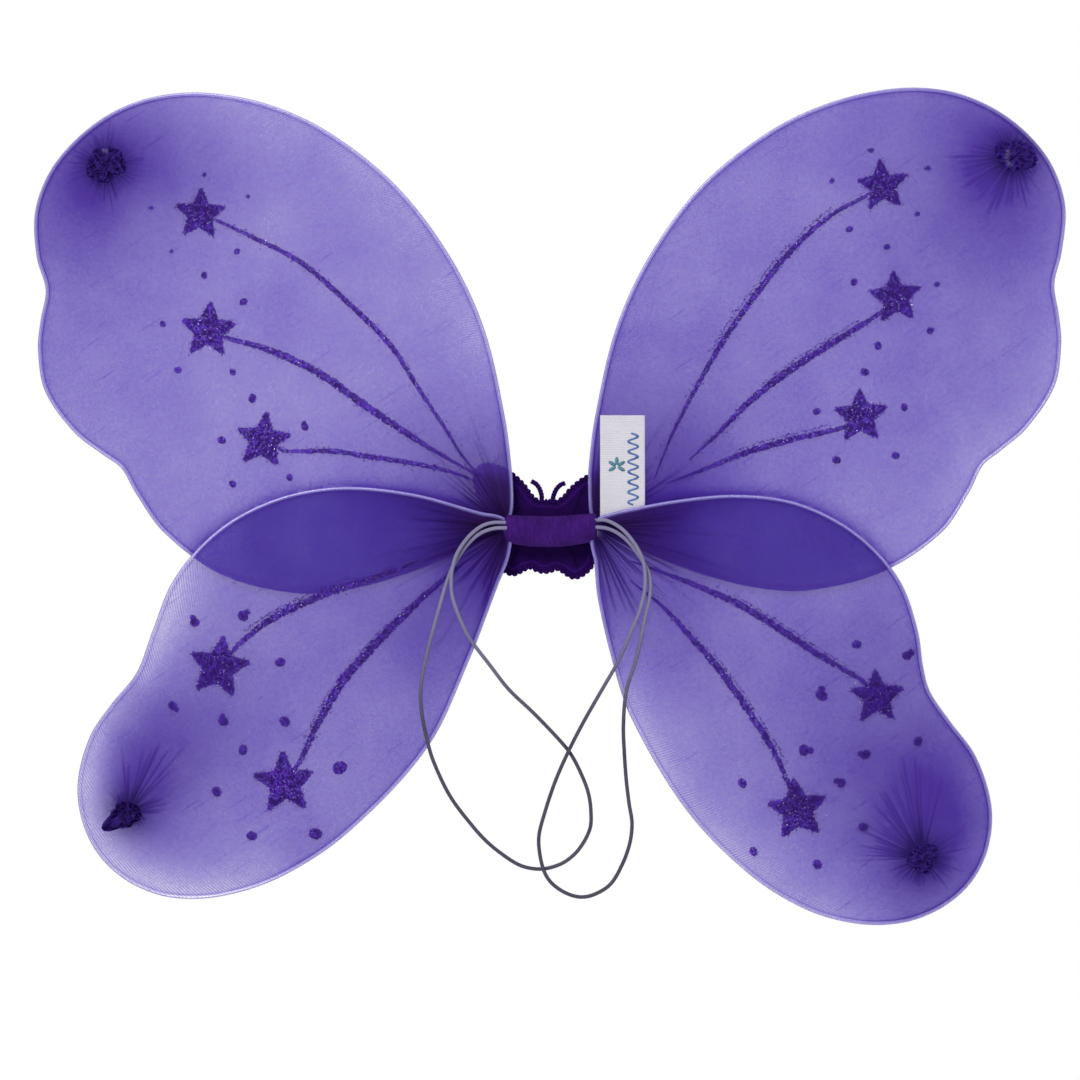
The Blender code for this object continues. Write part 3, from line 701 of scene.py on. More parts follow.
def make_stage():
    scene = bpy.context.scene
    scene.view_settings.view_transform = "Standard"
    lens = bpy.data.cameras.new("camera")
    lens.sensor_width = 36
    lens.lens = 36 * CAMERA_FAR / VIEW_WIDTH
    camera = bpy.data.objects.new("camera", lens)
    scene.collection.objects.link(camera)
    wing_plane = BAND_FLAT + bow(150)
    camera.location = Vector((VIEW_CENTRE[0], wing_plane - CAMERA_FAR, VIEW_CENTRE[1])) * MM
    camera.rotation_euler = (radians(90), 0, 0)
    scene.camera = camera

    sky = bpy.data.worlds.new("studio")
    sky.use_nodes = True
    nodes = Nodes(sky.node_tree)
    seen = sky.node_tree.nodes["Background"]
    surface = sky.node_tree.nodes["World Output"].inputs["Surface"]
    nodes.feed(seen.inputs["Color"], (1, 1, 1))
    parts = nodes.node("SeparateXYZ", {0: nodes.node("TexCoord", {}).outputs["Generated"]})
    ramp = {"Value": parts.outputs["Y"], "From Min": 0.2, "From Max": 0.85, "To Min": 0.40, "To Max": 1.15}
    level = nodes.node("MapRange", ramp, interpolation_type="SMOOTHSTEP").outputs[0]
    lighting = nodes.node("Background", {"Color": (0.97, 0.98, 1.0), "Strength": level})
    for_camera = nodes.node("LightPath", {}).outputs["Is Camera Ray"]
    chosen = nodes.node("MixShader", {0: for_camera, 1: lighting.outputs[0], 2: seen.outputs[0]})
    nodes.feed(surface, chosen.outputs[0])
    scene.world = sky

    for name, where, size, power in (
        ("key", (-0.55, -1.35, 0.95), 0.5, 19),
        ("fill", (1.1, -1.2, 0.1), 1.2, 3),
        ("back", (0.3, 1.2, 1.0), 0.8, 5),
    ):
        lamp = bpy.data.lights.new(name, "AREA")
        lamp.size = size
        lamp.energy = power
        light = bpy.data.objects.new(name, lamp)
        scene.collection.objects.link(light)
        light.location = where
        light.rotation_euler = (-Vector(where)).to_track_quat("-Z", "Y").to_euler()

    floor = bpy.data.meshes.new("floor")
    work = bmesh.new()
    bmesh.ops.create_circle(work, cap_ends=True, segments=96, radius=1.9)
    work.to_mesh(floor)
    work.free()
    ground = bpy.data.objects.new("floor", floor)
    scene.collection.objects.link(ground)
    ground.location = (0, 0, -FLOOR_DROP)
    floor.materials.append(floor_look())


# ---- elastic loops ----


def make_loops(look):
    for name, route in (("left", LEFT_LOOP), ("right", RIGHT_LOOP)):
        smooth = [world(x, -front, z) / MM for x, front, z in route]
        path = spaced(through(smooth, 10), CORD_STEP)
        inward = -3.0 if name == "right" else 3.0
        first, last = path[0] + np.array([inward, -0.2, 0]), path[-1] + np.array([inward, 1.4, 0])
        path = np.concatenate([[first], path, [last]])

        def braid(along, turn):
            strands = np.sin(4 * turn + along * 3.3) * np.sin(4 * turn - along * 3.3)
            return CORD_RADIUS * (0.955 + 0.075 * strands)

        shape = swept(path, CORD_SIDES, braid)
        cord = hold(f"{name}_elastic_cord", shape, look, "centre", f"{name}_elastic_loop")
        along = np.arange(len(path))[:, None] * CORD_STEP
        turn = (np.arange(CORD_SIDES) * 2 * pi / CORD_SIDES)[None, :]
        set_values(cord.data, "braid", ((braid(along, turn) / CORD_RADIUS - 0.88) / 0.15).ravel())
        tuple(world(route[0][0], -route[0][1], route[0][2]))  # fmt: skip


def set_values(mesh, name, values):
    """One number for each vertex, read by a material."""
    layer = mesh.attributes.new(name, "FLOAT", "POINT")
    layer.data.foreach_set("value", np.asarray(values, np.float32))


# ---- wings ----


def wing_edge(wing):
    """The wing's wire from tail to tail, as (distance from the middle, height), as the frame has it."""
    first_tail = [(x, ROOT_HEIGHT + WIRE_SPREAD) for x in TAIL_X]
    last_tail = [(x, ROOT_HEIGHT - WIRE_SPREAD) for x in reversed(TAIL_X)]
    level, hand = wing.split("_")
    first_turn, last_turn = ROOT_TURNS[level]
    tilt = UPPER_TILT * (level == "upper") * (1 if hand == "right" else -1)
    edge = [(x * cos(tilt) - z * sin(tilt), x * sin(tilt) + z * cos(tilt)) for x, z in EDGES[wing]]
    return [*first_tail, *first_turn, *edge, *last_turn, *last_tail]


def fold_weight(points, centre, folds, start):
    """How far each point lies in a fold that runs out from centre, summed over the folds."""
    offset = points - np.array(centre)
    total = np.zeros(len(points))
    for angle, length, width, strength in folds:
        ahead = offset @ np.array([cos(angle), sin(angle)])
        across = offset @ np.array([-sin(angle), cos(angle)])
        share = np.clip(ahead / length, 0, 1)
        spread = width * (0.45 + 0.9 * share)
        fade = smooth_step((ahead - start) / 3) * (1 - share) ** 0.6
        total += strength * np.exp(-((across / spread) ** 2)) * fade
    return total


class Wing:
    """One wing's outline, its two layers' heights, and where its nylon is gathered."""

    def __init__(self, name, seed, below=None):
        self.name = name
        self.below = below  # the lower wing that lies in front of this one
        self.side = -1 if name.endswith("left") else 1
        self.plane = LAYER if name.startswith("upper") else -LAYER
        self.body = f"{name}_wing"
        self.route = spaced([p.to_2d() for p in through(wing_edge(name), 8)], 1.1)
        self.outward = quarter_turn(steps_along(self.route, closed=True))
        if inside(self.route[::20] + self.outward[::20] * 0.2, self.route).mean() > 0.5:
            self.outward = -self.outward
        self.nearest = finder(self.route)
        low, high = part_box(f"{name}_tip_gather")
        middle = (low + high) / 2 / MM
        self.tuft = (abs(middle.x), middle.z)
        self.tuft_foot = high.y / MM
        *self.tuft_size, fans = TUFTS[name]
        random.seed(seed)
        self.tuft_folds = [fold for fan in fans for fold in self.fan(*fan)]
        first, last = (-24, 88) if name.startswith("upper") else (-84, 14)
        self.root_folds = self.fan(first, last, 27, 42, 0.38, 0.9) + self.fan(first, last, 9, 66, 0.65, 0.35)

    def fan(self, first, last, number, length, width, strength):
        folds = []
        for i in range(number):
            share = (i + uniform(0.15, 0.85)) / number
            angle = radians(first + (last - first) * share)
            size = length * uniform(0.55, 1.1), width * uniform(0.7, 1.4)
            folds.append((angle, *size, strength * uniform(0.5, 1.2)))
        return folds

    def from_rim(self, points):
        return gaps(self.nearest, points)

    def side_of_rim(self, points):
        """The direction in which the rim nearest to each point faces."""
        nearest = [self.nearest.find((x, z, 0))[1] for x, z in points]
        return np.arctan2(self.outward[nearest, 1], self.outward[nearest, 0])

    def rise(self, points, near, rim, root, folds):
        """How far each point stands off the wire's tangent plane."""
        free = smooth_step((rim - 0.6) / 4)
        lift = free * np.clip(root, 0, 1.3) * 0.26
        if near:
            to_tuft = lengths(points - np.array(self.tuft))
            lift += free * np.clip(folds, 0, 1.5) * 0.42
            lift += 1.6 * np.exp(-((to_tuft / 2.6) ** 2)) + 0.5 * np.exp(-((to_tuft / 7) ** 2))
        return lift

    def pleats(self, points, near):
        """The folds at each point that run from the root, and those that run from the tuft."""
        root = fold_weight(points, ROOT, self.root_folds, 3)
        return root, fold_weight(points, self.tuft, self.tuft_folds, 1.5) if near else root * 0

    def measures(self, points, near):
        """For each point: its crease with painted shade, its density, its knit row, its stretch with the
        painted highlight of the wire, and its fold with painted shade.
        """
        rim, side = self.from_rim(points), self.side_of_rim(points)
        to_root = lengths(points - np.array(ROOT))
        from_tuft = points - np.array(self.tuft)
        to_tuft = lengths(from_tuft)
        root, folds = self.pleats(points, near)
        # a dark line just inside the wire: partly the crease where the layer leaves the wire, partly painted
        # shade of the wire
        wire_shade_line = np.exp(-(((rim - 1.15) / 0.4) ** 2)) * smooth_step((to_root - 8) / 20)
        # folds from the root thicken the nylon, and each fold is painted darker (painted shade)
        pleat = np.clip(root, 0, 1.4) * (0.35 + 0.65 * smooth_step(rim / 3))
        crease = pleat * 0.8 + 0.75 * wire_shade_line
        diagonal = np.arctan2(points[:, 1] - ROOT[1], points[:, 0] - ROOT[0])
        base, lobes, overall, root_reach, root_share = HALOS[self.name]
        aside = 0.75 if self.name.startswith("upper") else -1.0
        root_reach = root_reach + 12 * np.exp(-(((diagonal - aside) / 0.35) ** 2))
        root_reach = root_reach * (1 - 0.30 * np.exp(-(((diagonal + 0.05) / 0.28) ** 2)))
        gather = overall + root_share * np.exp(-((to_root / root_reach) ** 2))
        heading_thin, thin = THINNEST[self.name]
        facing = np.clip(np.cos(side - radians(heading_thin)), 0, 1) ** 0.7
        gather -= thin * facing * np.exp(-rim / 11) * smooth_step((to_root - 40) / 50)
        if near:
            turn = np.arctan2(from_tuft[:, 1], from_tuft[:, 0])
            reach = base
            for heading, extra, sharpness in lobes:
                reach = reach + extra * np.clip(np.cos(turn - radians(heading)), 0, 1) ** sharpness
            # the tuft's folds likewise, with painted shade darkest round the tuft itself
            crease += np.clip(folds, 0, 1.5) * 0.8
            pleat += np.clip(folds, 0, 1.4) * 0.8 + 1.4 * np.exp(-((to_tuft / 11) ** 2))
            gather += 1.17 * np.exp(-((to_tuft / reach) ** 1.5))
            course = to_root + 0.04 * to_tuft
            if self.below:  # painted shadow: a soft dark band in this layer just above the lower wing's wire, where the lower wing shades it
                apart = self.below.from_rim(points) * np.where(inside(points, self.below.route), -1, 1)
                crease += 1.25 * np.exp(-np.clip(apart - 0.7, 0, None) / 3.0) * smooth_step((apart + 1) / 1.2)
        else:
            course = to_root * 0.97 + points[:, 1] * 0.05
        # the nylon is stretched thin round the wire, and there it also carries the painted highlight
        stretch = 1 - smooth_step((rim - 0.5) / 0.5)
        return np.clip(crease, 0, 1.4), np.clip(gather, -0.6, 1), course, stretch, np.clip(pleat, 0, 1.3)

    def surface(self, points, near):
        """The layer's points in metres."""
        lift = self.rise(points, near, self.from_rim(points), *self.pleats(points, near))
        return self.placed(points, (SKIN + lift) * (-1 if near else 1))

    def placed(self, points, depth):
        """Flat points in metres, this far behind the wire's bowed plane."""
        behind = self.plane + depth + bow(points[:, 0])
        return np.stack([self.side * points[:, 0], BAND_FLAT + behind, points[:, 1]], axis=1) * MM

    def grid(self, near):
        """Points inside the outline: fine rings round the gathers, and a plain grid elsewhere."""
        plain, made = staggered((15, 240), (-182, 204), 2.6), []
        for centre, angles, reach, end, growth in (
            (ROOT, (-92, 92, 0.7), 7.0, 74, 1.05),
            (self.tuft, (0, 360, 1.1), 1.2, 46 if near else 0, 1.08),
        ):
            plain = plain[lengths(plain - np.array(centre)) > end]
            turn = np.radians(np.arange(*angles))
            while reach < end:
                made.append(np.array(centre) + reach * np.stack([np.cos(turn), np.sin(turn)], axis=1))
                turn = turn + radians(angles[2] / 2)
                reach *= growth
        points = np.concatenate([*made, plain])
        points = points[inside(points, self.route) & (self.from_rim(points) > 2.3)]
        hems = []
        for inset in (0.62, 1.1, 1.65):
            wire_shade_line = self.route - self.outward * inset
            hems.append(wire_shade_line[inside(wire_shade_line, self.route) & (self.from_rim(wire_shade_line) > inset * 0.93)])
        return np.concatenate([points, *hems])


def inside(points, outline):
    """Which points lie inside a closed outline."""
    x, z = points[:, 0], points[:, 1]
    found = np.zeros(len(points), bool)
    for (x0, z0), (x1, z1) in zip(outline, np.roll(outline, -1, axis=0)):
        if z0 == z1:
            continue
        crosses = (z0 > z) != (z1 > z)
        found ^= crosses & (x < (x1 - x0) * (z - z0) / (z1 - z0) + x0)
    return found


def make_stocking(wing, look):
    """Both layers and the rim that wraps the wire, as one closed skin."""
    points, values, faces = [], [], []
    borders = []
    for near in (True, False):
        flat, triangles, border = triangulated(wing.route, wing.grid(near))
        start = len(points)
        points.extend(wing.surface(flat, near).tolist())
        values.extend(zip(*wing.measures(flat, near)))
        faces.extend([tuple(i + start for i in face) for face in triangles])
        borders.append([i + start for i in border])

    for step in range(1, RIM_STEPS):
        angle = pi * step / RIM_STEPS - pi / 2
        ring = wing.route + wing.outward * SKIN * cos(angle)
        borders.insert(-1, list(range(len(points), len(points) + len(ring))))
        points.extend(wing.placed(ring, SKIN * sin(angle)).tolist())
        close = np.exp(-lengths(ring - np.array(ROOT)) / 20) * 0.5
        # the rim rings are stretched and carry the painted highlight of the wire
        values.extend([(0.0, g, c, 1.0, 0.0) for g, c in zip(close, np.arange(len(ring)) * 1.1)])
    for upper, lower in zip(borders, borders[1:]):
        faces.extend(zip(upper, upper[1:] + upper[:1], lower[1:] + lower[:1], lower))

    shape = points, faces
    piece = hold(f"{wing.name}_stocking", shape, look, wing.body, f"{wing.name}_cover")
    for k, attribute in enumerate(("crease", "gather", "course", "stretch", "pleat")):
        set_values(piece.data, attribute, [v[k] for v in values])
    return piece


def make_wire(wing, look):
    path = [world(wing.side * x, wing.plane + bow(x), z) / MM for x, z in wing.route]
    shape = swept(path, 12, lambda along, turn: WIRE_RADIUS + 0 * turn)
    hold(f"{wing.name}_spring_wire", shape, look, wing.body, f"{wing.name}_wire")


def make_tuft(wing, look):
    """The stocking's spare end: a flattened crumple of folds, with a pleated neck under it."""
    rounds, sides = 54, 150
    wide, tall = wing.tuft_size
    radius = (wide + tall) / 2
    height = 4.2
    seed = Vector((wing.side * 7.3, wing.plane * 3.1, radius))
    tones, shine, points = [], [], []
    for row in range(rounds + 1):
        share = row / rounds
        for k in range(sides):
            turn = 2 * pi * k / sides
            if share < TUFT_NECK:  # the neck, from the layer up into the crumple
                up = share / TUFT_NECK
                reach = 1.9 + 0.5 * (1 - up) ** 2 + 0.22 * sin(14 * turn)
                rise = -0.5 + 1.9 * up
                folded = 0
            else:
                polar = pi * (1 - (share - TUFT_NECK) / (1 - TUFT_NECK)) * 0.90
                reach = max(radius * sin(polar), 0.0) ** 0.9 * radius**0.1
                rise = 1.4 + height * 0.5 * (1 + cos(polar)) ** 0.8
                folded = min(1.0, (share - TUFT_NECK) / 0.12)
            ray = Vector((cos(turn), sin(turn), 0))
            spot = ray * reach * 0.42 + Vector((0, 0, rise * 0.5)) + seed
            warped = spot + 0.5 * Vector((noise.noise(spot * 0.9), noise.noise(spot * 0.9 + seed), 0))
            coarse = noise.noise(warped * 0.45)
            ridge = 1 - abs(noise.noise(warped * 1.15)) * 2.6
            fine = 1 - abs(noise.noise(warped * 2.7 + seed)) * 2.2
            reach += folded * (2.2 * coarse + 0.7 * ridge + 0.3 * fine - 0.5) * min(1, reach / 2.5)
            rise += folded * (0.9 * coarse + 1.0 * ridge + 0.45 * fine - 0.3)
            # painted highlight on the crumple's ridges and painted shade in its valleys; they go into the
            # tuft's density and fold values
            lit = 0.55 * max(0.0, ridge) ** 1.5 + 0.5 * max(0.0, fine) ** 2
            tones.append(1.05 + TUFT_TONE[wing.name] - lit)
            if wing.name == "lower_left":  # one corner of the cut end sticks out
                corner = max(0.0, cos(turn - radians(-38))) ** 14
                reach += folded * corner * 7.5 * sin(pi * min(1, share * 1.15)) ** 2
            across = wing.tuft[0] + reach * cos(turn) * (wide / radius if folded else 1)
            up = wing.tuft[1] + reach * sin(turn) * (tall / radius if folded else 1)
            points.append((wing.side * across * MM, (wing.tuft_foot - max(rise, -0.5)) * MM, up * MM))
            place = np.array([across - wing.tuft[0], up - wing.tuft[1]])
            spots = [np.linalg.norm(place - np.array(spot)) for spot in TUFT_SHINE.get(wing.name, ())]
            shine.append(0.75 * exp(-((min(spots) / 0.75) ** 2)) if spots and rise > 1.5 else 0.0)
    shape = points, rows_to_faces(rounds + 1, sides)
    tuft = hold(f"{wing.name}_tuft", shape, look, wing.body, f"{wing.name}_tip_gather")
    for attribute, values in (
        ("gather", np.clip(tones, 0.1, 1.25)), ("crease", np.zeros(len(points))),
        ("pleat", np.clip(np.array(tones) * 0.5 - 0.35, 0, 1)), ("stretch", shine),
        ("course", np.array([p[0] for p in points]) / MM),
    ):  # fmt: skip
        set_values(tuft.data, attribute, values)
    return tuft


def make_ties(wing, look):
    """The thread wound round the tuft's neck, and round the wing's root inside the band's mouth."""
    centre = (wing.side * wing.tuft[0], wing.tuft_foot - 0.8, wing.tuft[1])
    root = world(wing.side * TIE_X, wing.plane, ROOT_HEIGHT) / MM
    for end, path, up in (
        ("tip", grooved(centre, 2.35, 2.35, "y"), (0, 1, 0.02)),
        ("root", grooved(root, SKIN + 0.22, SKIN + WIRE_SPREAD + 0.22, "x"), (1, 0, 0.02)),
    ):
        shape = swept(path, 8, lambda along, turn: 0.24 * (1 + 0.12 * np.sin(along * 9 + turn)), up=up)
        hold(f"{wing.name}_{end}_binding", shape, look, wing.body, f"{wing.name}_{end}_tie")


# ---- prints on the outer layer ----


def raised(wing, flat, height):
    """Flat points in metres, at this height in millimetres on the outer layer."""
    skin = wing.surface(flat, near=False)
    skin[:, 1] += (height - PRINT_DEPTH) * MM
    return skin


def slab(wing, outline, thickness=PRINT_THICKNESS):
    """A thin raised shape on the outer layer, domed a little towards its middle."""
    ring = np.array(outline)
    middle = ring.mean(axis=0)
    points = []
    for share, rise in ((1.0, 0.0), (1.0, 0.6), (0.86, 1.0), (0.45, 1.1)):
        points.extend(raised(wing, middle + (ring - middle) * share, thickness * rise).tolist())
    return points, rows_to_faces(4, len(ring))


def speck(wing, x, z, most, corners):
    return slab(wing, rough_ring(x, z, uniform(0.16, most), 0.2, corners), SPECK_THICKNESS)


def rough_ring(x, z, radius, wobble, count=22):
    phase = uniform(0, 6.28)
    ring = []
    for i in range(count):
        turn = 2 * pi * i / count
        reach = radius * (1 + wobble * sin(2 * turn + phase) + uniform(-wobble, wobble))
        ring.append((x + reach * cos(turn), z + reach * sin(turn)))
    return ring


def star_ring(x, z, radius, point_angle):
    """A five-pointed star with printed, slightly uneven sides."""
    corners = []
    for i in range(10):
        turn = radians(point_angle + 36 * i)
        if i % 2:
            corners.append((turn, 0.50 * uniform(0.95, 1.05)))
        else:  # the point is blunt
            blunt = uniform(0.93, 0.99)
            corners.extend([(turn - 0.05, blunt), (turn + 0.05, blunt)])
    corners = [Vector((x + radius * r * cos(turn), z + radius * r * sin(turn))) for turn, r in corners]
    ring = []
    for here, after in zip(corners, corners[1:] + corners[:1]):
        steps = max(2, int((after - here).length / 0.62))
        for step in range(steps):
            jitter = Vector((uniform(-0.34, 0.34), uniform(-0.34, 0.34)))
            ring.append(here.lerp(after, step / steps) + jitter)
    return [tuple(p) for p in ring]


def speckles(wing, route, offset, spread, first, last, chance):
    """Specks of print scattered along a line beside a stem."""
    line = spaced(through(route, 6), 0.45)
    across = quarter_turn(steps_along(line))
    made = []
    for i in range(int(len(line) * first), int(len(line) * last)):
        if random.random() < chance:
            made.append(speck(wing, *(line[i] + across[i] * (offset + random.gauss(0, spread))), 0.42, 8))
    return made


def stem(wing, route, widest):
    """A printed line that swells and tapers, with ragged sides."""
    line = spaced(through(route, 6), 0.6)
    across = quarter_turn(steps_along(line))
    share = np.linspace(0, 1, len(line))
    half = widest * (0.34 + 0.62 * np.sin(np.pi * np.clip(share * 0.95 + 0.06, 0, 1)) ** 0.9 - 0.16 * share)
    rows = []
    for place, rise in ((-1.0, 0.0), (-1.0, 0.6), (-0.5, 1.0), (0.5, 1.0), (1.0, 0.6), (1.0, 0.0)):
        ragged = half * (1 + np.array([uniform(-0.42, 0.42) for _ in line]))
        rows.append(raised(wing, line + across * (place * ragged)[:, None], PRINT_THICKNESS * rise))
    points = np.stack(rows, axis=1).reshape(-1, 3).tolist()
    return points, rows_to_faces(len(line), len(rows))


def make_prints(wing, look, shiny):
    random.seed(len(wing.name) * 31 + int(wing.plane > 0) * 7)
    name = wing.name
    stars, dots, strokes, flakes = [], [], [], []
    for star in STARS[name]:
        ring = star_ring(*star)
        stars.append(slab(wing, ring))
        for x, z in [spot for spot in ring if random.random() < 0.7]:
            stars.append(speck(wing, x + random.gauss(0, 0.45), z + random.gauss(0, 0.45), 0.40, 7))
    for x, z, r in DOTS[name]:
        dots.append(slab(wing, rough_ring(x, z, r * 1.05, 0.09, 26)))
        turn = uniform(0, 6.28)
        if random.random() < 0.3:  # a second drop that ran beside it
            tail = (x + 1.15 * r * cos(turn), z + 1.15 * r * sin(turn))
            dots.append(slab(wing, rough_ring(*tail, r * uniform(0.55, 0.75), 0.12, 18), SPECK_THICKNESS))
    double = name.startswith("lower") or name == "upper_right"
    for route, width in zip(STEMS[name], STEM_WIDTHS[name]):
        x, z, _, _ = min(STARS[name], key=lambda star: dist(star[:2], route[0]))
        route = ((0.55 * route[0][0] + 0.45 * x, 0.55 * route[0][1] + 0.45 * z), *route)
        strokes.append(stem(wing, route, width))
        strokes.extend(speckles(wing, route, 0.0, width * 0.9, 0.03, 0.97, 0.55))
        if double:
            strokes.extend(speckles(wing, route, -2.5, 0.35, 0.12, 0.6, 0.75))
        line = spaced(through(route, 6), 0.8)
        for spot in line[: int(len(line) * 0.8)]:
            if random.random() < 0.8:
                aside = np.array([random.gauss(0, 0.7), random.gauss(0, 0.7)])
                flakes.append(flake(wing, spot + aside, near=random.random() < 0.07))
    often = 10 if name.startswith("lower") else 20
    for x, z, reach, _ in STARS[name]:
        for number in range(120):
            turn = uniform(0, 6.28)
            away = reach * (0.66 * sqrt(random.random()) if number < 106 else uniform(0.8, 2.4))
            spot = np.array([x + away * cos(turn), z + away * sin(turn)])
            if inside(spot[None], wing.route)[0] and wing.from_rim(spot[None])[0] > 4:
                flakes.append(flake(wing, spot, near=number % often == 0))
    pieces = []
    for kind, shapes, material in (
        ("printed_stars", stars, look), ("printed_dots", dots, look), ("printed_stems", strokes, look),
        ("glitter_flakes", flakes, shiny),
    ):  # fmt: skip
        smooth = kind != "glitter_flakes"
        shape = joined(shapes)
        pieces.append(hold(f"{name}_{kind}", shape, material, wing.body, smooth=smooth))
    return pieces


def flake(wing, spot, near):
    """A flake of glitter at its own tilt, on the inner side of the print or stuck to the near layer."""
    middle = wing.surface(np.array([spot]), near)[0] - np.array([0, 0.08 if near else 0.2, 0]) * MM
    size = uniform(0.10, 0.19) if near else uniform(0.16, 0.36)
    tilt = Matrix.Rotation(uniform(-0.75, 0.1), 3, "X") @ Matrix.Rotation(uniform(-0.45, 0.3), 3, "Z")
    turns = [pi * k / 3 for k in range(6)]
    corners = [(size * cos(turn), depth, size * sin(turn)) for depth in (0.0, 0.05) for turn in turns]
    points = [(middle + np.array(tilt @ Vector(corner)) * MM).tolist() for corner in corners]
    return points, rows_to_faces(2, 6)


# ---- centre ----


def band_shape():
    """The rolled felt, arched like a smile, with its edge down the back and the turns at its ends."""
    sides, rows, rounding, front_limit = 132, 150, 1.3, -0.72
    half = BAND_END + 0.2
    straight = half - rounding
    points = []
    profile = [((-1 + 2 * row / rows) * straight, 1.0, 0.0) for row in range(rows + 1)]
    shoulder = [radians(a) for a in (25, 50, 72, 90)]
    right = [(straight + rounding * sin(a), 1.0 - 0.19 * (1 - cos(a)), 0.0) for a in shoulder]
    face = [(half, 0.81 - 0.03 * k, k / 6) for k in range(1, 6)]
    throat = [(half - 0.9, 0.64, 1.0), (half - 4, 0.60, 1.0), (half - 9, 0.52, 1.0)]
    end = right + face + throat
    profile = [(-x, r, f) for x, r, f in reversed(end)] + profile + end
    for x, scale, face_share in profile:
        u = min(1.0, abs(x) / half)
        lift = -0.75 + 1.85 * u**2 + 0.02 * x
        tall = 7.0 - 0.85 * u**3
        deep = 7.15 - 0.55 * u**4
        for k in range(sides):
            turn = 2 * pi * k / sides
            roll = ((turn / (2 * pi) + 0.30) % 1.0) * 0.75 - 0.35
            spot = Vector((x * 0.75, cos(turn) * 1.3, sin(turn) * 1.3))
            nap = noise.noise(Vector((x * 0.85, cos(turn) * 1.1, sin(turn) * 1.1)))
            fuzz = noise.noise(spot * 5.1)
            reach = scale * (1 + 0.028 * nap + 0.010 * fuzz) + roll / 7 * min(1.0, scale)
            turns = 0.42 * abs(sin(pi * (face_share * 2.6 + turn / (2 * pi)))) if face_share else 0
            y = max(BAND_FLAT - deep * reach * cos(turn), front_limit + 0.10 * fuzz)
            z = lift + tall * reach * sin(turn)
            points.append(((x + copysign(turns, x)) * MM, y * MM, z * MM))
    return points, rows_to_faces(len(profile), sides)


def patch_bend(x):
    flat_half = 16.0
    return BAND_RADIUS + 0.3 + PATCH_THICKNESS / 2 + 0.024 * np.maximum(0.0, np.abs(x) - flat_half) ** 2


def on_patch(x, z):
    c, s = cos(PATCH_TURN), sin(PATCH_TURN)
    return PATCH_X + x * c - z * s, x * s + z * c


def patch_ring():
    right = [tuple(p) for p in spaced(through(PATCH_HALF, 6), 0.8)]
    return right + [(-x, z) for x, z in reversed(right[1:-1])]


def stitches(points, to_edge):
    """Satin stitches fan out over each lobe, so their ridges turn with the place on the patch."""
    x, z = np.abs(points[:, 0]), points[:, 1]
    slope = np.where(z > 2, x * 0.62 + z * 0.78, x * 0.74 - z * 0.67)
    ridge = 0.5 + 0.5 * np.sin(slope * 2 * np.pi / 1.2)
    vein = np.exp(-(((x - 9.5 - 0.35 * np.abs(z)) / 0.5) ** 2))
    line = np.exp(-(((to_edge - 2.4) / 0.4) ** 2)) * (0.6 + 0.4 * np.sin((x + z) * 4.2))
    return np.clip(ridge * 0.75 * (1 - 0.7 * vein) + 1.1 * line, 0, 1.3)


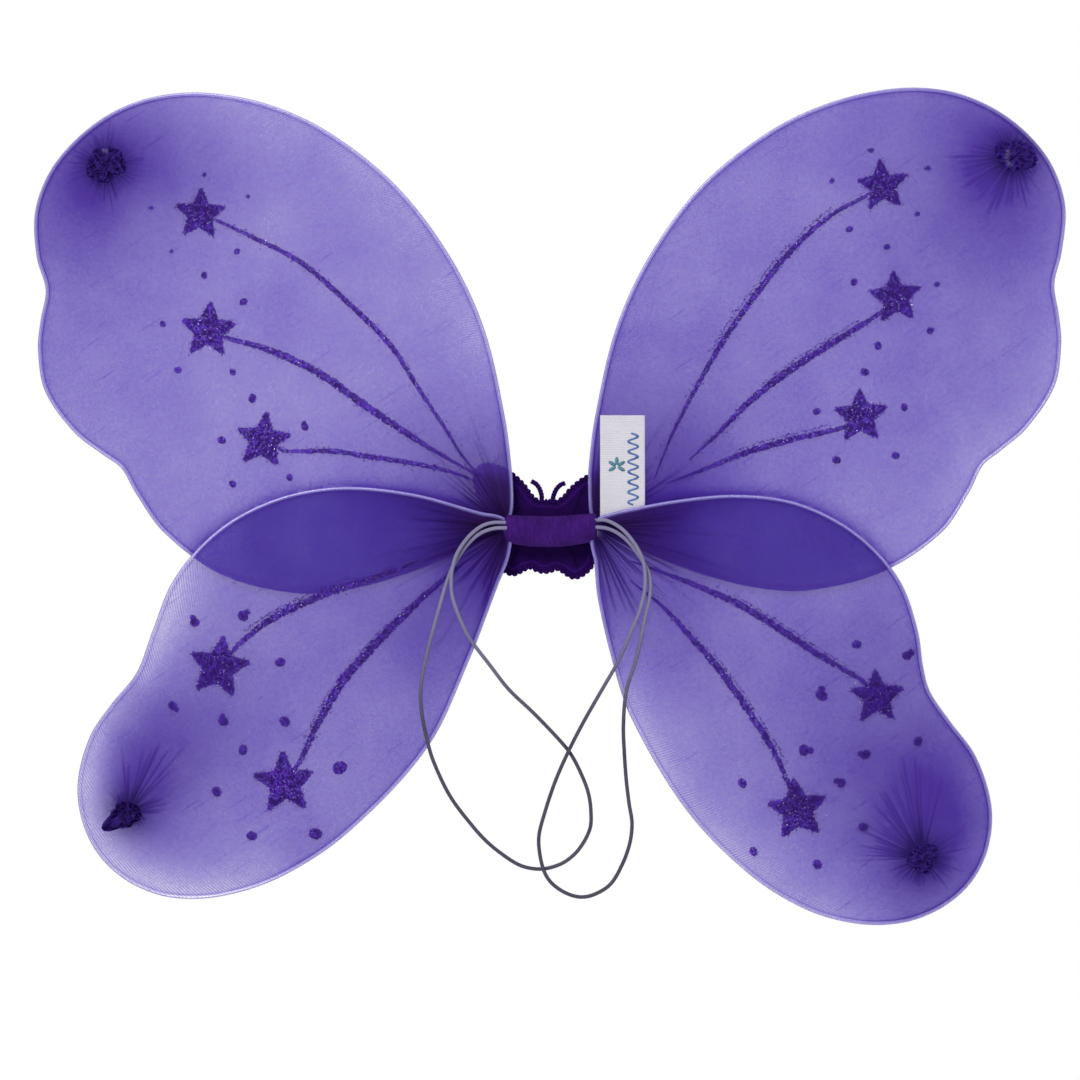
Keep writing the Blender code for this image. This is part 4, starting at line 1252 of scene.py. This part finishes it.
def make_patch(look):
    """The embroidered butterfly: ridged lobes, a scalloped cord round them, a padded body and two antennae."""
    cord_bed = np.array(patch_ring())
    outward = quarter_turn(steps_along(cord_bed, closed=True))
    ring = cord_bed + outward * 0.6
    nearest = finder(ring)
    loose = staggered((-32, 32), (-22, 30), 0.62)
    flat, triangles, border = triangulated(ring, loose[inside(loose, ring) & (gaps(nearest, loose) > 0.5)])
    to_edge = gaps(nearest, flat)
    ridge = stitches(flat, to_edge)
    relief = ridge * 0.40 * smooth_step(to_edge / 1.2)
    points, faces, values = [], [], []
    for face_side in (-1, 1):
        start = len(points)
        for (a, b), up in zip(flat, relief):
            across, height = on_patch(a, b)
            behind = patch_bend(across) + face_side * (PATCH_THICKNESS / 2 - 0.2 + up)
            points.append(world(across, behind, height))
        values.extend(ridge)
        faces.extend([tuple(i + start for i in face) for face in triangles])
    for i, j in zip(border, border[1:] + border[:1]):
        faces.append((i, j, j + len(flat), i + len(flat)))
    lobes = hold("patch_lobes", (points, faces), look, "centre", "patch_base")
    # the stitch ridges and grooves go into the lace's colour as painted shade
    set_values(lobes.data, "stitch", values)

    def stitched(name, path, radius, pitch, deep, closed, replaced):
        def section(along, turn):
            scallop = np.abs(np.sin(np.pi * along / pitch))
            twist = np.sin(2 * turn + along * 4.5)
            return radius * (1 - deep + 1.45 * deep * scallop**0.8 + 0.07 * twist)

        piece = hold(name, swept(path, 14, section, closed), look, "centre", replaced)
        along = np.repeat(np.arange(len(path)) * 0.25, 14)
        # the cord's twist is painted light and dark (painted shade)
        set_values(piece.data, "stitch", 0.5 + 0.5 * np.sin(along * 4.5))

    edge = []
    for moved in cord_bed + outward * (PATCH_CORD_RADIUS + 0.1):
        across, height = on_patch(*moved)
        edge.append(world(across, patch_bend(across), height) / MM)
    edge = spaced([*edge, edge[0]], 0.25)[:-1]
    stitched("patch_scalloped_edge", edge, PATCH_CORD_RADIUS * 1.15, 2.6, 0.6, True, "patch_edge_cord")

    for name, side in (("left", -1), ("right", 1)):
        route = [on_patch(side * a, b) for a, b in ANTENNA]
        path = spaced(through([world(a, patch_bend(a), b) / MM for a, b in route], 10), 0.25)
        stitched(f"{name}_feeler", path, ANTENNA_RADIUS * 1.1, 1.2, 0.07, False, f"{name}_antenna")

    low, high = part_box("patch_body")
    middle, size = (low + high) / 2, (high - low) / 2
    work = bmesh.new()
    bmesh.ops.create_uvsphere(work, u_segments=60, v_segments=90, radius=1)
    values = []
    for vert in work.verts:
        ribs_and_shade = sin(vert.co.z * 13 / 1.1 * 2 * pi)
        waist = 1 - 0.16 * exp(-(((vert.co.z - 0.42) / 0.10) ** 2))
        swell = waist * (1 + 0.035 * ribs_and_shade)
        values.append(0.5 + 0.5 * ribs_and_shade)
        x, y, z = vert.co
        vert.co = Vector((x * swell * size.x, y * swell * size.y, z * size.z)) + middle
    mesh = bpy.data.meshes.new("patch_padded_body")
    work.to_mesh(mesh)
    work.free()
    # the padded body's rib grooves are painted darker (painted shade)
    set_values(mesh, "stitch", values)
    body = hold("patch_padded_body", mesh, look, "centre", "patch_body")


def make_label(look, blue, teal):
    """A folded grosgrain ribbon with a plain wave and a plain flower in its weave."""
    left, right, top = LABEL
    columns, gap, leaf = 22, 0.12, 0.10
    middle_foot = sum(LABEL_FOOT) / 2

    def curl(across, share):
        return 0.35 * sin(pi * across) * (share - 0.3) + 0.15 * sin(share * 5)

    heights = np.linspace(0, 1, 250)
    rows = []
    for front in (True, False):
        for share in heights if front else heights[::-1]:
            rows.append((share, -(gap / 2 + leaf) if front else (gap / 2 + leaf)))
        if front:
            for k in range(1, 6):
                turn = pi * k / 6
                rows.append((1.0 + 0.004 * sin(turn), -(gap / 2 + leaf) * cos(turn)))
    points = []
    for skin in (1, -1):
        for share, depth in rows:
            for c in range(columns + 1):
                across = c / columns
                x = left + (right - left) * across
                foot = LABEL_FOOT[0] + (LABEL_FOOT[1] - LABEL_FOOT[0]) * across
                z = foot + (top - foot) * share
                rib = 0.035 * sin(z * 2 * pi / RIB_PITCH)
                y = depth + copysign(1, depth) * skin * (leaf / 2 + rib * (skin > 0)) - curl(across, share)
                points.append(world(x, y + bow(x), z))
    count, wide = len(rows), columns + 1
    size = count * wide
    faces = []
    for start, downs, acrosses, one, other in (
        (0, range(count - 1), range(columns), 1, wide), (size, range(count - 1), range(columns), wide, 1),
        (0, range(count - 1), (0, columns), wide, size), (0, (0, count - 1), range(columns), 1, size),
    ):  # fmt: skip
        corners = [start + down * wide + across for down in downs for across in acrosses]
        faces.extend([(a, a + one, a + one + other, a + other) for a in corners])
    label = hold("woven_label", (points, faces), look, "lower_right_wing", "label_ribbon")

    def mark(outline):
        made = []
        for rise in (0.02, 0.07):
            for x, z in outline:
                share = (z - middle_foot) / (top - middle_foot)
                front = -(gap / 2 + leaf * 1.5 + 0.035) - curl((x - left) / (right - left), share) - rise
                made.append(world(x, front + bow(x), z))
        return made, rows_to_faces(2, len(outline))

    wave = np.array([(right - 5.4 + 2.3 * sin(z * 2 * pi / 4.6), z) for z in np.linspace(11.5, 44, 150)])
    side = quarter_turn(steps_along(wave)) * 0.42
    strip = mark(np.concatenate([wave + side, (wave - side)[::-1]]))
    hold("label_wave", strip, blue, "lower_right_wing")
    petals = []
    for turn in np.radians([90, 30, 150, 210, 330]):
        centre = Vector((left + 7.6 + 2.4 * cos(turn), 29 + 2.4 * sin(turn)))
        petal = []
        for k in range(16):
            t = 2 * pi * k / 16
            long, short = 1.9 * cos(t), 0.85 * sin(t)
            x = centre.x + long * cos(turn) - short * sin(turn)
            petal.append((x, centre.y + long * sin(turn) + short * cos(turn)))
        petals.append(mark(petal))
    hold("label_flower", joined(petals), teal, "lower_right_wing")


def keep_hidden_nodes(thread, steel, elastic):
    """The pieces inside the band stay as the frame has them, with finished materials."""
    for name, look in (
        ("core_lashing", thread), ("upper_wire_tails", steel), ("lower_wire_tails", steel),
        ("left_elastic_knot", elastic), ("right_elastic_knot", elastic),
    ):  # fmt: skip
        mesh = frame["nodes"][name].data
        mesh.materials.clear()
        mesh.materials.append(look)


def main():
    make_stage()
    elastic = elastic_look()
    make_loops(elastic)
    thread = thread_look("purple_binding_thread", (0.16, 0.06, 0.36), (0.04, 0.01, 0.13))
    steel = steel_look()
    nylon = nylon_look(
        "lilac_nylon_knit", 0.40, (0.10, 0.03, 0.17), (0.235, 0.15, 0.80),
        (0.05, 0.012, 0.11), (0.14, 0.07, 0.46),
    )  # fmt: skip
    bunched = nylon_look(
        "bunched_nylon", 0.05, (0.16, 0.065, 0.60), (0.17, 0.065, 0.60),
        (0.014, 0.002, 0.085), (0.025, 0.004, 0.125),
    )  # fmt: skip
    glitter, loose_flakes = glitter_look(), flake_look()
    wings = {}
    for number, name in reversed(list(enumerate(WINGS))):
        wings[name] = Wing(name, 11 + number, wings.get(name.replace("upper", "lower")))
    for name in WINGS:
        wing = wings[name]
        stocking = make_stocking(wing, nylon)
        make_wire(wing, steel)
        tuft = make_tuft(wing, bunched)
        make_ties(wing, thread)
        prints = make_prints(wing, glitter, loose_flakes)
    band = hold("rolled_felt_band", band_shape(), felt_look(), "centre", "centre_band")
    make_patch(lace_look())
    blue, teal = ink_look("blue_yarn", (0.02, 0.12, 0.4)), ink_look("teal_yarn", (0.01, 0.18, 0.25))
    make_label(ribbon_look(), blue, teal)
    keep_hidden_nodes(thread, steel, elastic)


main()
